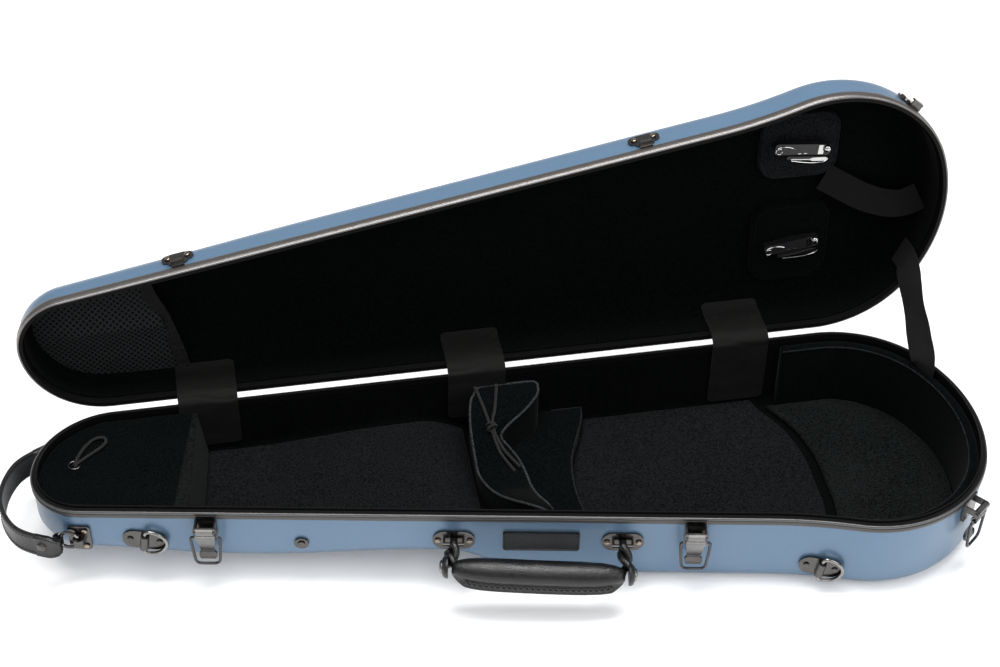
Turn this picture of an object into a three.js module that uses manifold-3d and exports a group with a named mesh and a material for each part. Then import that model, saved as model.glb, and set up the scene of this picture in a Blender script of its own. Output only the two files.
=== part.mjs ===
// An oblong-to-pear carbon fibre violin case, open on its stay, modelled as separate pieces.
// Millimetres, +Z up. The case lies with its back (hinge side) towards +Y.
// Inside the file, x runs from the scroll tip, y is zero at the hinge side and z is zero at the rim.
import * as THREE from 'three';
import { mergeVertices } from 'three/addons/utils/BufferGeometryUtils.js';
import Module from 'manifold-3d';

// Driving dimensions of the whole case
const LENGTH = 785;
const WIDTH = 236;
const BODY_DEPTH = 76;
const NECK_DEPTH = 58.5;
const LID_HEIGHT = 49.5;
const LID_CROWN = 4;
const OPEN_ANGLE = 93.2;

// The rim outline: arcs that run into each other, and the straight front of the neck
const SCROLL_BACK_RADIUS = 69.4;
const SCROLL_TIP_RADIUS = 45.6;
const SCROLL_BACK_TURN = 85.2;
const FLARE_RADIUS = 433;
const FLARE_SHARE = 0.6397;
const cornerShares = { front: 0.4267, back: 0.4199, end: 0.6042, shift: 0.0097 };
const FRONT_CORNER_RADIUS = cornerShares.front * WIDTH;
const BACK_CORNER_RADIUS = cornerShares.back * WIDTH;
const END_RADIUS = cornerShares.end * WIDTH;
const CORNER_SHIFT = cornerShares.shift * WIDTH;
const ARC_STEP = 15;

// How deep the lower shell is along the neck, as shares of LENGTH and of NECK_DEPTH
const depthShares = [
  [0, 0.82], [0.045, 0.855], [0.105, 0.915], [0.165, 0.985], [0.225, 1],
  [0.265, 0.983], [0.305, 0.94], [0.365, 0.88], [0.415, 0.872],
];
const stepShares = [0.415, 0.503];
const STEP_PARTS = 4;
const BODY_PARTS = 3;
const FLARE_PARTS = 4;

// How high the lid is along the case, as shares of LENGTH and of LID_HEIGHT
const heightShares = [[0, 0.84], [0.05, 0.86], [0.16, 0.9], [0.3, 0.96], [0.5, 0.98], [0.75, 1], [1, 1]];
const CROWN_PLACE_SHARE = 0.5;
const CROWN_RISE_SHARE = 0.75;

// Walls, linings and the gaps between pieces that touch
const SHELL_WALL = 2;
const BASE_EDGE_RADIUS = 17;
const LID_EDGE_RADIUS = 26;
const SEAT_GAP = 0.3;
const LINING = 2.5;
const BASE_LINING_CORNER = 8;
const PAD = 5;
const NECK_PAD = 2.4;

// Rim frames: a channel over the edge of each shell
const FRAME_PROUD = 1.2;
const FRAME_WALL = 0.9;
const FRAME_WEB = 1.2;
const BASE_FRAME_HEIGHT = 7;
const LID_FRAME_HEIGHT = 9.3;
const FRAME_INNER_LEG = 6;
const SEAL_WIDTH = 1.2;
const SEAL_RISE = 2.4;
const SEAL_DROP = 4;

// Hinges along the back
const HINGE_OFFSET = 2.6;
const KNUCKLE_RADIUS = 2.3;
const PIN_RADIUS = 1;
const HINGE_WIDTH = 38;
const HINGE_LEAF_HEIGHT = 20;
const HINGE_LEAF = 1.2;
const hingeShares = [0.188, 0.48, 0.778];

// Draw latches and the hooks on the lid that they pull
const latchShares = [0.174, 0.664];
const END_LATCH_ANGLE = -50;
const LATCH_WIDTH = 17;
const LATCH_TOP = 2;
const LATCH_HEIGHT = 22;
const LATCH_PLATE = 1.5;
const EAR = 1.4;
const EAR_RADIUS = 3;
const LATCH_PIVOT_OUT = 11;
const LATCH_PIVOT_DROP = 9.3;
const LATCH_PIN_RADIUS = 1.5;
const BAIL_PIVOT_OUT = 10;
const BAIL_PIVOT_DROP = 17.2;
const BAIL_LENGTH = 30.7;
const BAIL_WIRE = 1.25;
const BAIL_SHOULDER = 23.2;
const BAIL_SHOULDER_DROP = 5;
const BAIL_FOOT = 14.5;
const BAIL_FOOT_RISE = 4.25;
const LEVER_WALL = 2.4;
const LEVER_WIDTH = 16;
const LEVER_LENGTH = 36;
const BAR_OUT = 3.8;
const BAR_RISE = 13;
const HOOK_WIDTH = 10.4;
const KEEPER_WIDTH = 26.5;
const KEEPER_HEIGHT = 27;
const KEEPER_EAR_RISE = 8.25;

// Carrying handle
const HANDLE_SHARE = 0.507;
const HANDLE_DROP = 28;
const HANDLE_SPAN = 136;
const ANCHOR_WIDTH = 34;
const ANCHOR_HEIGHT = 20;
const PLATE = 1.5;
const BRIDGE_OUT = 5.2;
const BRIDGE_BAR = 1.8;
const BRIDGE_SPAN = 17.2;
const OVAL = 2.1;
const RIVET_RADIUS = 2.6;
const RIVET_RISE = 1.2;
const TAB_WIDTH = 12;
const TAB_WALL = 4;
const GRIP_RADIUS = 12;
const GRIP_INSET = 2;
const GRIP_LENGTH = HANDLE_SPAN - GRIP_INSET * 2;
const GRIP_OUT = 31;
const GRIP_DROP = 37;
const GRIP_END_RADIUS = 9;
const SEAM_DEPTH = 3;
const SEAM_WALL = 1.8;
const SEAM_TILT = 52;
const SEAM_SHARE = 0.8;

// Shoulder strap rings
const ringShares = [0.1102, 0.7943];
const RING_DROPS = [32, 52];
const RING_TILT = 8;
const RING_PLATE_WIDTH = 36;
const RING_PLATE_HEIGHT = 19;
const RING_WIRE = 1.6;
const RING_HEIGHT = 22;
const RING_REACH = 18;
const RING_BRIDGE = 14;
const RING_OUT = 2.9;
const RING_RIVET_INSET = 6.24;

// Band handle round the scroll end
const END_PLATE_WIDTH = 18;
const END_PLATE_HEIGHT = 26;
const END_PLATE_DROP = 30;
const END_FRONT_ANGLE = -103;
const END_BACK_ANGLE = 113;
const END_RING_RADIUS = 8.5;
const END_RING_OUT = 3.4;
const END_RIVET_INSET = 4.42;
const BAND_HEIGHT = 22;
const BAND_WALL = 3.6;
const BAND_REACH = 27;
const BAND_EYE = 3.52;

// Small pieces on the front
const BADGE_WIDTH = 62;
const BADGE_HEIGHT = 21;
const BADGE_DROP = 28.5;
const BADGE_SHARE = 0.51;
const BADGE_WALL = 1.2;
const STUD_RADIUS = 6;
const STUD_SHARE = 0.268;
const STUD_DROP = 34;

// Accessory compartment at the scroll end
const DIVIDER_TOP = 6;
const dividerShares = { back: 0.1713, front: 0.1401, across: 0.5297 };
const DIVIDER_BACK_X = dividerShares.back * LENGTH;
const DIVIDER_FRONT_X = dividerShares.front * LENGTH;
const DIVIDER_FRONT_Y = dividerShares.across * WIDTH;
const DIVIDER_BACK_WALL = 3;
const DIVIDER_FRONT_WALL = 14;
const DIVIDER_LEAN = 6;
const FLAP_TOP = 5;
const FLAP = 4;
const CORD_RADIUS = 1.3;
const CORD_BENDS = 9;
const PULL_LOOP = 26;
const eyeletShares = [0.0446, 0.233];

// Pads in the body of the case
const CRADLE_SHARE = 0.46624;
const CRADLE_X = CRADLE_SHARE * LENGTH;
const CRADLE_RUN = 66;
const CRADLE_BEVEL = 2.5;
const BLOCK_HEIGHT = 15;
const CUSHION_SHARE = 0.8102;
const CUSHION_X = CUSHION_SHARE * LENGTH;
const CUSHION_LEAN = 12;
const CUSHION = 8;
const CUSHION_DROP = 4.5;
const GROOVE = 9;

// Fittings in the lid
const BOW_PAD = 4;
const BOW_PAD_WIDTH = 69;
const BOW_SHARE = 0.8452;
const holderShares = [
  { across: 0.7034, spin: 0.7034, deep: 0.2712, turn: 5.7 },
  { across: 0.2797, spin: 0.2839, deep: 0.3347, turn: 7.4 },
];
const BOW_BAR_LENGTH = 50;
const BOW_BAR_WIDTH = 9;
const BOW_BAR = 2.2;
const BOW_POST = 11;
const BOW_DISC_RADIUS = 7.2;
const BOW_HEAD_RADIUS = 3.96;
const BOW_WALL_PLACE = 6.3;
const clipShares = { front: 0.8, back: 0.9, length: 0.7, shift: 0.07 };
const RIBBON_WALL = 1.4;
const LOOP_WIDTH = 24;
const POCKET_DEPTH = 14;
const POCKET_WALL = 1.2;
const POCKET_BAND = 6;
const COVER_WIDTH = 50;
const COVER_WALL = 1.2;
const STAY_WIDTH = 24;
const STAY_ANGLE = 30;
const STAY_PARTS = 5;

// Where the part's own origin lies: under the middle of the flat underside
const REST_X = 580;
const CUT_MARGIN = 5;
const ROUND_PARTS = 5;
const CORNER_PARTS = 2;
const BASE_BENDS = 2;
const LID_BENDS = 3;
const WELD = 1e-4;

const QUARTER = Math.PI / 2;
const radians = THREE.MathUtils.degToRad;

const wasm = await Module();
wasm.setup();

// Outline

function around(centre, radius, angle) {
  return { x: centre.x + radius * Math.cos(angle), y: centre.y + radius * Math.sin(angle) };
}

function angleOf(from, to) {
  return Math.atan2(to.y - from.y, to.x - from.x);
}

/** Centre at one distance from a and another from b, to the right of the way from a to b. */
function crossing(a, fromA, b, fromB) {
  const span = Math.hypot(b.x - a.x, b.y - a.y);
  const along = (fromA ** 2 - fromB ** 2 + span ** 2) / (span + span);
  const across = Math.sqrt(fromA ** 2 - along ** 2);
  const ux = (b.x - a.x) / span;
  const uy = (b.y - a.y) / span;
  return { x: a.x + ux * along + uy * across, y: a.y + uy * along - ux * across };
}

const scrollTurn = QUARTER + radians(SCROLL_BACK_TURN);

const scrollBack = {
  x: SCROLL_TIP_RADIUS - (SCROLL_BACK_RADIUS - SCROLL_TIP_RADIUS) * Math.cos(scrollTurn),
  y: -SCROLL_BACK_RADIUS,
};
const scrollTip = around(scrollBack, SCROLL_BACK_RADIUS - SCROLL_TIP_RADIUS, scrollTurn);

const backCorner = { x: 0, y: -BACK_CORNER_RADIUS };
const frontCorner = { x: CORNER_SHIFT, y: FRONT_CORNER_RADIUS - WIDTH };
const endCentre = crossing(
  backCorner, END_RADIUS - BACK_CORNER_RADIUS, frontCorner, END_RADIUS - FRONT_CORNER_RADIUS,
);
const endShift = LENGTH - END_RADIUS - endCentre.x;
for (const centre of [backCorner, frontCorner, endCentre]) {
  centre.x += endShift;
}

/** Centre of the concave flare that joins the straight front to the wide end. */
function flareCentreOf() {
  const x = FLARE_SHARE * LENGTH;
  const away = Math.sqrt((FLARE_RADIUS + FRONT_CORNER_RADIUS) ** 2 - (x - frontCorner.x) ** 2);
  return { x, y: frontCorner.y - away };
}

const flareCentre = flareCentreOf();
const flareRun = Math.hypot(flareCentre.x - scrollTip.x, flareCentre.y - scrollTip.y);
const frontAngle = angleOf(scrollTip, flareCentre) - Math.acos((SCROLL_TIP_RADIUS + FLARE_RADIUS) / flareRun);
const taper = -QUARTER - frontAngle;
const frontStart = around(scrollTip, SCROLL_TIP_RADIUS, frontAngle);
const frontNormal = { x: Math.cos(frontAngle), y: Math.sin(frontAngle) };
const flareStartX = flareCentre.x - frontNormal.x * FLARE_RADIUS;
const flareAngle = angleOf(flareCentre, frontCorner);
const flareEnd = around(flareCentre, FLARE_RADIUS, flareAngle);

/** Point and outward normal on the front of the outline, from the scroll to the wide end. */
function frontAt(x) {
  if (x <= flareStartX) {
    const y = frontStart.y - (x - frontStart.x) * Math.tan(taper);
    return { x, y, nx: frontNormal.x, ny: frontNormal.y };
  }
  if (x > flareEnd.x) {
    const dx = x - frontCorner.x;
    const drop = Math.sqrt(FRONT_CORNER_RADIUS ** 2 - dx ** 2);
    return { x, y: frontCorner.y - drop, nx: dx / FRONT_CORNER_RADIUS, ny: -drop / FRONT_CORNER_RADIUS };
  }
  const dx = x - flareCentre.x;
  const rise = Math.sqrt(FLARE_RADIUS ** 2 - dx ** 2);
  return { x, y: flareCentre.y + rise, nx: -dx / FLARE_RADIUS, ny: -rise / FLARE_RADIUS };
}

function arcPoint(centre, radius, angle) {
  const point = around(centre, radius, angle);
  return { ...point, nx: Math.cos(angle), ny: Math.sin(angle) };
}

/** Points on an arc from one angle to another, the last one left out. */
function arcPoints(centre, radius, from, to, rib) {
  const parts = Math.max(1, Math.round((to - from) / radians(ARC_STEP)));
  const points = [];
  for (let k = 0; k < parts; k += 1) {
    points.push({ ...arcPoint(centre, radius, from + (to - from) * k / parts), rib });
  }
  return points;
}

/** Straight lines through a table of shares. */
function fromShares(table, share, size) {
  const last = table.length - 1;
  if (share <= table[0][0]) {
    return table[0][1] * size;
  }
  for (let k = 1; k <= last; k += 1) {
    if (share <= table[k][0]) {
      const t = (share - table[k - 1][0]) / (table[k][0] - table[k - 1][0]);
      return THREE.MathUtils.lerp(table[k - 1][1], table[k][1], t) * size;
    }
  }
  return table[last][1] * size;
}

/** Places where the ribs stand: every bend of the side profile and of the front outline. */
function ribPlaces() {
  const places = [scrollBack.x];
  for (const [share] of depthShares) {
    if (share * LENGTH > scrollBack.x + CUT_MARGIN) {
      places.push(share * LENGTH);
    }
  }
  const [stepFrom, stepTo] = stepShares.map((share) => share * LENGTH);
  for (let k = 1; k <= STEP_PARTS; k += 1) {
    places.push(THREE.MathUtils.lerp(stepFrom, stepTo, k / STEP_PARTS));
  }
  for (let k = 1; k <= BODY_PARTS; k += 1) {
    places.push(THREE.MathUtils.lerp(stepTo, flareStartX, k / BODY_PARTS));
  }
  for (let k = 1; k <= FLARE_PARTS; k += 1) {
    places.push(THREE.MathUtils.lerp(flareStartX, flareEnd.x, k / FLARE_PARTS));
  }
  return places;
}

const ribs = ribPlaces();
const lastRib = ribs.length - 1;
const spine = ribs.map((x) => ({ x, y: frontAt(x).y / 2 }));

/** The rim outline as points with outward normals, counterclockwise seen from above. */
function outlineStations() {
  const stations = [];
  stations.push(...arcPoints(scrollBack, SCROLL_BACK_RADIUS, QUARTER, scrollTurn, 0));
  stations.push(...arcPoints(scrollTip, SCROLL_TIP_RADIUS, scrollTurn, frontAngle + Math.PI * 2, 0));
  stations.push({ ...frontAt(frontStart.x), rib: 0 });
  ribs.slice(0, lastRib).forEach((x, rib) => stations.push({ ...frontAt(x), rib }));
  const cornerFrom = flareAngle - Math.PI;
  const cornerTo = angleOf(endCentre, frontCorner);
  const endTo = angleOf(endCentre, backCorner);
  stations.push(...arcPoints(frontCorner, FRONT_CORNER_RADIUS, cornerFrom, cornerTo, lastRib));
  stations.push(...arcPoints(endCentre, END_RADIUS, cornerTo, endTo, lastRib));
  stations.push(...arcPoints(backCorner, BACK_CORNER_RADIUS, endTo, QUARTER, lastRib));
  stations.push({ x: backCorner.x, y: 0, nx: 0, ny: 1, rib: lastRib });
  for (let rib = lastRib; rib > 0; rib -= 1) {
    stations.push({ x: ribs[rib], y: 0, nx: 0, ny: 1, rib });
  }
  return stations;
}

const stations = outlineStations();

function depthAt(x) {
  const neckEnd = fromShares(depthShares, stepShares[0], NECK_DEPTH);
  const [from, to] = stepShares.map((share) => share * LENGTH);
  if (x <= from) {
    return fromShares(depthShares, x / LENGTH, NECK_DEPTH);
  }
  return THREE.MathUtils.lerp(neckEnd, BODY_DEPTH, THREE.MathUtils.smoothstep(x, from, to));
}

function heightAt(x) {
  return fromShares(heightShares, x / LENGTH, LID_HEIGHT);
}

const base = { side: -1, reach: depthAt, crown: 0, radius: BASE_EDGE_RADIUS, bends: BASE_BENDS };
const lid = { side: 1, reach: heightAt, crown: LID_CROWN, radius: LID_EDGE_RADIUS, bends: LID_BENDS };

// Surfaces

/** Closed geometry from points and triangles, turned so that its faces point out. */
function meshOf(points, triangles) {
  let volume = 0;
  for (const [a, b, c] of triangles) {
    const [p, q, r] = [points[a], points[b], points[c]];
    volume += p[0] * (q[1] * r[2] - q[2] * r[1]) - p[1] * (q[0] * r[2] - q[2] * r[0])
      + p[2] * (q[0] * r[1] - q[1] * r[0]);
  }
  const ordered = volume < 0 ? triangles.map(([a, b, c]) => [a, c, b]) : triangles;
  const geometry = new THREE.BufferGeometry();
  geometry.setAttribute('position', new THREE.Float32BufferAttribute(points.flat(), 3));
  geometry.setIndex(ordered.flat());
  return geometry;
}

/** Triangles between neighbouring rows of points, each row a loop. */
function stripTriangles(rowCount, size, wrap) {
  const triangles = [];
  const strips = wrap ? rowCount : rowCount - 1;
  for (let row = 0; row < strips; row += 1) {
    const next = (row + 1) % rowCount;
    for (let k = 0; k < size; k += 1) {
      const after = (k + 1) % size;
      triangles.push([row * size + k, row * size + after, next * size + after]);
      triangles.push([row * size + k, next * size + after, next * size + k]);
    }
  }
  return triangles;
}

/** Closed body from rows that follow the outline, closed along the spine at both ends. */
function spineBody(rows, startHeight, endHeight) {
  const size = stations.length;
  const triangles = stripTriangles(rows.length, size, false);
  const points = rows.flat();
  const startAt = points.length;
  spine.forEach((rib) => points.push([rib.x, rib.y, startHeight(rib.x)]));
  const endAt = points.length;
  spine.forEach((rib) => points.push([rib.x, rib.y, endHeight(rib.x)]));
  const lastRow = (rows.length - 1) * size;
  for (let k = 0; k < size; k += 1) {
    const after = (k + 1) % size;
    const here = stations[k].rib;
    const there = stations[after].rib;
    triangles.push([after, k, startAt + here]);
    triangles.push([lastRow + k, lastRow + after, endAt + here]);
    if (here !== there) {
      triangles.push([after, startAt + here, startAt + there]);
      triangles.push([lastRow + after, endAt + there, endAt + here]);
    }
  }
  return meshOf(points, triangles);
}

/** Closed ring from rows that follow the outline. */
function rimRing(rows) {
  return meshOf(rows.flat(), stripTriangles(rows.length, stations.length, true));
}

/** Closed body through a list of loops, closed by a fan at both ends or joined end to end. */
function skin(rows, joined = false) {
  const size = rows[0].length;
  const triangles = stripTriangles(rows.length, size, joined);
  const points = rows.flat();
  if (!joined) {
    const lastRow = (rows.length - 1) * size;
    const middle = (row) => [0, 1, 2].map((axis) => row.reduce((sum, p) => sum + p[axis], 0) / size);
    const start = points.push(middle(rows[0])) - 1;
    const end = points.push(middle(rows[rows.length - 1])) - 1;
    for (let k = 0; k < size; k += 1) {
      const after = (k + 1) % size;
      triangles.push([after, k, start]);
      triangles.push([lastRow + k, lastRow + after, end]);
    }
  }
  return meshOf(points, triangles);
}

function rowAt(inset, height) {
  return stations.map((s) => [s.x - s.nx * inset, s.y - s.ny * inset, height(s.x)]);
}

/** Row part of the way from an inset outline to the spine. */
function rowTowardsSpine(inset, share, height) {
  return stations.map((s) => {
    const rib = spine[s.rib];
    const x = THREE.MathUtils.lerp(s.x - s.nx * inset, rib.x, share);
    const y = THREE.MathUtils.lerp(s.y - s.ny * inset, rib.y, share);
    return [x, y, height(s.x)];
  });
}

/** Rows of one face of a shell, from its middle over the rounded edge and up to the rim. */
function shellRows(form, face, steps) {
  const flat = (x) => form.reach(x) - face.thickness;
  const rows = [];
  if (form.crown > 0) {
    const rise = form.crown * CROWN_RISE_SHARE;
    const height = (x) => form.side * (flat(x) + rise);
    rows.push(rowTowardsSpine(face.inset + face.radius, CROWN_PLACE_SHARE, height));
  }
  for (let k = steps; k >= 0; k -= 1) {
    const angle = QUARTER * k / steps;
    const inset = face.inset + face.radius * (1 - Math.cos(angle));
    rows.push(rowAt(inset, (x) => form.side * (flat(x) - face.radius * (1 - Math.sin(angle)))));
  }
  rows.push(rowAt(face.inset, () => form.side * face.edge));
  return rows;
}

function spineHeight(form, face) {
  return (x) => form.side * (form.reach(x) - face.thickness + form.crown);
}

/** A bowl with an outer and an inner face. */
function bowl(form, outer, inner, outerSteps, innerSteps) {
  const rows = [...shellRows(form, outer, outerSteps), ...shellRows(form, inner, innerSteps).reverse()];
  return spineBody(rows, spineHeight(form, outer), spineHeight(form, inner));
}

/** The solid that fills one face of a shell up to its edge. */
function filling(form, face, steps) {
  return spineBody(shellRows(form, face, steps), spineHeight(form, face), () => form.side * face.edge);
}

// Booleans

function solid(geometry) {
  const bare = geometry.clone();
  bare.deleteAttribute('normal');
  bare.deleteAttribute('uv');
  const merged = mergeVertices(bare, WELD);
  return new wasm.Manifold(new wasm.Mesh({
    numProp: 3,
    vertProperties: new Float32Array(merged.attributes.position.array),
    triVerts: new Uint32Array(merged.index.array),
  }));
}

function geometryOf(manifold) {
  const mesh = manifold.getMesh();
  const geometry = new THREE.BufferGeometry();
  geometry.setAttribute('position', new THREE.BufferAttribute(new Float32Array(mesh.vertProperties), 3));
  geometry.setIndex(new THREE.BufferAttribute(new Uint32Array(mesh.triVerts), 1));
  return geometry;
}

function joined(...geometries) {
  return geometries.map(solid).reduce((whole, piece) => whole.add(piece));
}

// Profiles, plates and wires, in the frame of a wall: X along it, -Y out of it, Z up

/** Profile given as (out, up), extruded along the wall and centred on it. */
function alongWall(shape, width, centre = 0) {
  const settings = { depth: width, bevelEnabled: false, curveSegments: ROUND_PARTS };
  const geometry = new THREE.ExtrudeGeometry(shape, settings);
  geometry.translate(0, 0, -width / 2 - centre);
  const turn = new THREE.Matrix4().makeBasis(
    new THREE.Vector3(0, -1, 0), new THREE.Vector3(0, 0, 1), new THREE.Vector3(-1, 0, 0),
  );
  return geometry.applyMatrix4(turn);
}

/** Plate drawn as (along, up), from one distance out of the wall to another. */
function wallPlate(shape, from, to, curveSegments = CORNER_PARTS) {
  const settings = { depth: to - from, bevelEnabled: false, curveSegments };
  const geometry = new THREE.ExtrudeGeometry(shape, settings);
  const turn = new THREE.Matrix4().makeBasis(
    new THREE.Vector3(1, 0, 0), new THREE.Vector3(0, 0, 1), new THREE.Vector3(0, -1, 0),
  );
  return geometry.applyMatrix4(turn).translate(0, -from, 0);
}

function roundedShape(width, height, radius, centreX = 0, centreY = 0) {
  const [left, right] = [centreX - width / 2, centreX + width / 2];
  const [low, high] = [centreY - height / 2, centreY + height / 2];
  const shape = new THREE.Shape();
  shape.moveTo(left + radius, low);
  shape.lineTo(right - radius, low);
  shape.absarc(right - radius, low + radius, radius, -QUARTER, 0);
  shape.lineTo(right, high - radius);
  shape.absarc(right - radius, high - radius, radius, 0, QUARTER);
  shape.lineTo(left + radius, high);
  shape.absarc(left + radius, high - radius, radius, QUARTER, Math.PI);
  shape.lineTo(left, low + radius);
  shape.absarc(left + radius, low + radius, radius, Math.PI, Math.PI + QUARTER);
  return shape;
}

function discShape(centreX, centreY, radius) {
  const shape = new THREE.Shape();
  shape.absarc(centreX, centreY, radius, 0, Math.PI * 2);
  return shape;
}

function polygonShape(points) {
  return new THREE.Shape(points.map(([x, y]) => new THREE.Vector2(x, y)));
}

/** Bar of round section along the wall, at a distance out and a height. */
function barAlong(radius, length, out, up, centre = 0) {
  return alongWall(discShape(out, up, radius), length, centre);
}

function rivetAt(x, up, face) {
  return wallPlate(discShape(x, up, RIVET_RADIUS), face - SEAT_GAP, face + RIVET_RISE, ROUND_PARTS);
}

/** Plan shape pulled up from one height to another. */
function prism(points, low, high) {
  const settings = { depth: high - low, bevelEnabled: false };
  return new THREE.ExtrudeGeometry(polygonShape(points), settings).translate(0, 0, low);
}

function circleSection(radius, sides) {
  return Array.from({ length: sides }, (_, k) => {
    const angle = Math.PI * 2 * k / sides;
    return [radius * Math.cos(angle), radius * Math.sin(angle)];
  });
}

function bandSection(width, wall) {
  return [[width / 2, wall / 2], [-width / 2, wall / 2], [-width / 2, -wall / 2], [width / 2, -wall / 2]];
}

/** Section swept along points; u lies along the given direction, v across it. */
function sweep(points, sectionAt, direction, closed = false) {
  const path = points.map((p) => new THREE.Vector3(...p));
  const last = path.length - 1;
  let u = typeof direction === 'function' ? null : new THREE.Vector3(...direction);
  const rows = path.map((p, k) => {
    const before = closed ? path[(k + last) % path.length] : path[Math.max(0, k - 1)];
    const after = closed ? path[(k + 1) % path.length] : path[Math.min(last, k + 1)];
    const tangent = after.clone().sub(before).normalize();
    if (typeof direction === 'function') {
      u = new THREE.Vector3(...direction(k / last));
    }
    u = u.clone().addScaledVector(tangent, -u.dot(tangent)).normalize();
    const v = tangent.clone().cross(u);
    const section = typeof sectionAt === 'function' ? sectionAt(k) : sectionAt;
    return section.map(([a, b]) => p.clone().addScaledVector(u, a).addScaledVector(v, b).toArray());
  });
  return skin(rows, closed);
}

/** Smooth path through a few chosen points. */
function smooth(points, parts) {
  const curve = new THREE.CatmullRomCurve3(points.map((p) => new THREE.Vector3(...p)), false, 'centripetal');
  return curve.getPoints(parts).map((p) => p.toArray());
}

// The scene

const colours = {
  paint: { color: 0x7491ae, roughness: 0.28, metalness: 0.1 },
  frame: { color: 0x5d6166, roughness: 0.35, metalness: 0.8 },
  rubber: { color: 0x17181a, roughness: 0.8, metalness: 0 },
  velour: { color: 0x1c1c20, roughness: 0.95, metalness: 0 },
  pad: { color: 0x2a2a2f, roughness: 0.95, metalness: 0 },
  leather: { color: 0x1b1a1a, roughness: 0.55, metalness: 0 },
  ribbon: { color: 0x3a3838, roughness: 0.8, metalness: 0 },
  nickel: { color: 0x6c6a68, roughness: 0.25, metalness: 0.95 },
  bright: { color: 0xc9c9c6, roughness: 0.2, metalness: 0.95 },
};

const caseGroup = new THREE.Group();
caseGroup.position.set(-REST_X, WIDTH / 2, BODY_DEPTH);
const lidGroup = new THREE.Group();
lidGroup.position.set(0, HINGE_OFFSET, 0);
lidGroup.rotation.x = -radians(OPEN_ANGLE);
const closedLid = new THREE.Group();
closedLid.position.set(0, -HINGE_OFFSET, 0);
lidGroup.add(closedLid);
caseGroup.add(lidGroup);

function place(parent, name, shape, colour) {
  const geometry = shape.isBufferGeometry ? shape : geometryOf(shape);
  geometry.computeVertexNormals();
  const material = new THREE.MeshStandardMaterial({ ...colours[colour], flatShading: true });
  const mesh = new THREE.Mesh(geometry, material);
  mesh.name = name;
  parent.add(mesh);
  return mesh;
}

/** Group on a wall of the outline: X along the wall, Y inwards, Z up from the given height. */
function onWall(parent, point, height) {
  const group = new THREE.Group();
  group.position.set(point.x, point.y, height);
  group.rotation.z = Math.atan2(point.ny, point.nx) + QUARTER;
  parent.add(group);
  return group;
}

const shellSeat = SEAT_GAP - FRAME_PROUD;

// Shells, frames and linings

const innerInset = FRAME_PROUD + SHELL_WALL;
const liningInset = innerInset + SEAT_GAP;
const roomInset = liningInset + LINING;
const roomThickness = SHELL_WALL + SEAT_GAP + LINING;
const shellEdge = SEAT_GAP + FRAME_WEB + SEAT_GAP;
const liningEdge = FRAME_INNER_LEG + SEAT_GAP;

function addShell(parent, name, form) {
  const outer = { inset: FRAME_PROUD, thickness: 0, radius: form.radius, edge: shellEdge };
  const inner = {
    inset: innerInset, thickness: SHELL_WALL, radius: form.radius - SHELL_WALL, edge: shellEdge,
  };
  place(parent, name, bowl(form, outer, inner, 3, 2), 'paint');
}

function addLining(parent, name, form, corner) {
  const outer = {
    inset: liningInset,
    thickness: SHELL_WALL + SEAT_GAP,
    radius: form.radius - SHELL_WALL - SEAT_GAP,
    edge: liningEdge,
  };
  const inner = { inset: roomInset, thickness: roomThickness, radius: corner, edge: liningEdge };
  place(parent, name, bowl(form, outer, inner, 2, form.bends), 'velour');
}

function addFrame(parent, name, form, height) {
  const legInset = liningInset + FRAME_WALL;
  const webUnder = SEAT_GAP + FRAME_WEB;
  const section = [
    [0, SEAT_GAP], [0, height], [FRAME_WALL, height], [FRAME_WALL, webUnder],
    [liningInset, webUnder], [liningInset, FRAME_INNER_LEG],
    [legInset, FRAME_INNER_LEG], [legInset, SEAT_GAP],
  ];
  place(parent, name, rimRing(section.map(([inset, up]) => rowAt(inset, () => form.side * up))), 'frame');
}

const lidLiningCorner = LID_EDGE_RADIUS - roomThickness;
addShell(caseGroup, 'lower_shell', base);
addFrame(caseGroup, 'lower_frame', base, BASE_FRAME_HEIGHT);
addLining(caseGroup, 'base_lining', base, BASE_LINING_CORNER);
addShell(closedLid, 'upper_shell', lid);
addFrame(closedLid, 'upper_frame', lid, LID_FRAME_HEIGHT);
addLining(closedLid, 'lid_lining', lid, lidLiningCorner);

function addSeal() {
  const from = liningInset + FRAME_WALL + SEAT_GAP;
  const to = from + SEAL_WIDTH;
  const section = [[from, -SEAL_DROP], [from, SEAL_RISE], [to, SEAL_RISE], [to, -SEAL_DROP]];
  place(caseGroup, 'rim_seal', rimRing(section.map(([inset, up]) => rowAt(inset, () => up))), 'rubber');
}

addSeal();

// The room inside each lining, one seat gap clear of it

function roomOf(form, corner, edge, lift = 0, inset = roomInset + SEAT_GAP) {
  const thickness = roomThickness + SEAT_GAP + lift;
  return solid(filling(form, { inset, thickness, radius: corner - SEAT_GAP, edge }, form.bends));
}

const baseRoom = roomOf(base, BASE_LINING_CORNER, 0);
const lidRoom = roomOf(lid, lidLiningCorner, 0);
const farBack = CUT_MARGIN;
const farFront = -WIDTH - CUT_MARGIN;
const bodyFloor = BODY_DEPTH - roomThickness - SEAT_GAP;
const padTop = -(bodyFloor - PAD);

// Flaps of leather over the hinges, tucked between the linings and what stands against them

const coverInset = roomInset + SEAT_GAP + COVER_WALL;

function coverEnd(x) {
  return -(depthAt(x - COVER_WIDTH / 2) - roomThickness - BASE_LINING_CORNER);
}

/** Slot for each hinge flap along the back, from one height to another. */
function coverSlots(inner, low, high) {
  return hingeShares.map((share) => {
    const x = share * LENGTH;
    const reach = COVER_WIDTH / 2 + SEAT_GAP;
    const outline = [[x - reach, inner], [x + reach, inner], [x + reach, farBack], [x - reach, farBack]];
    return solid(prism(outline, low(x), high));
  }).reduce((whole, slot) => whole.add(slot));
}

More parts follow.
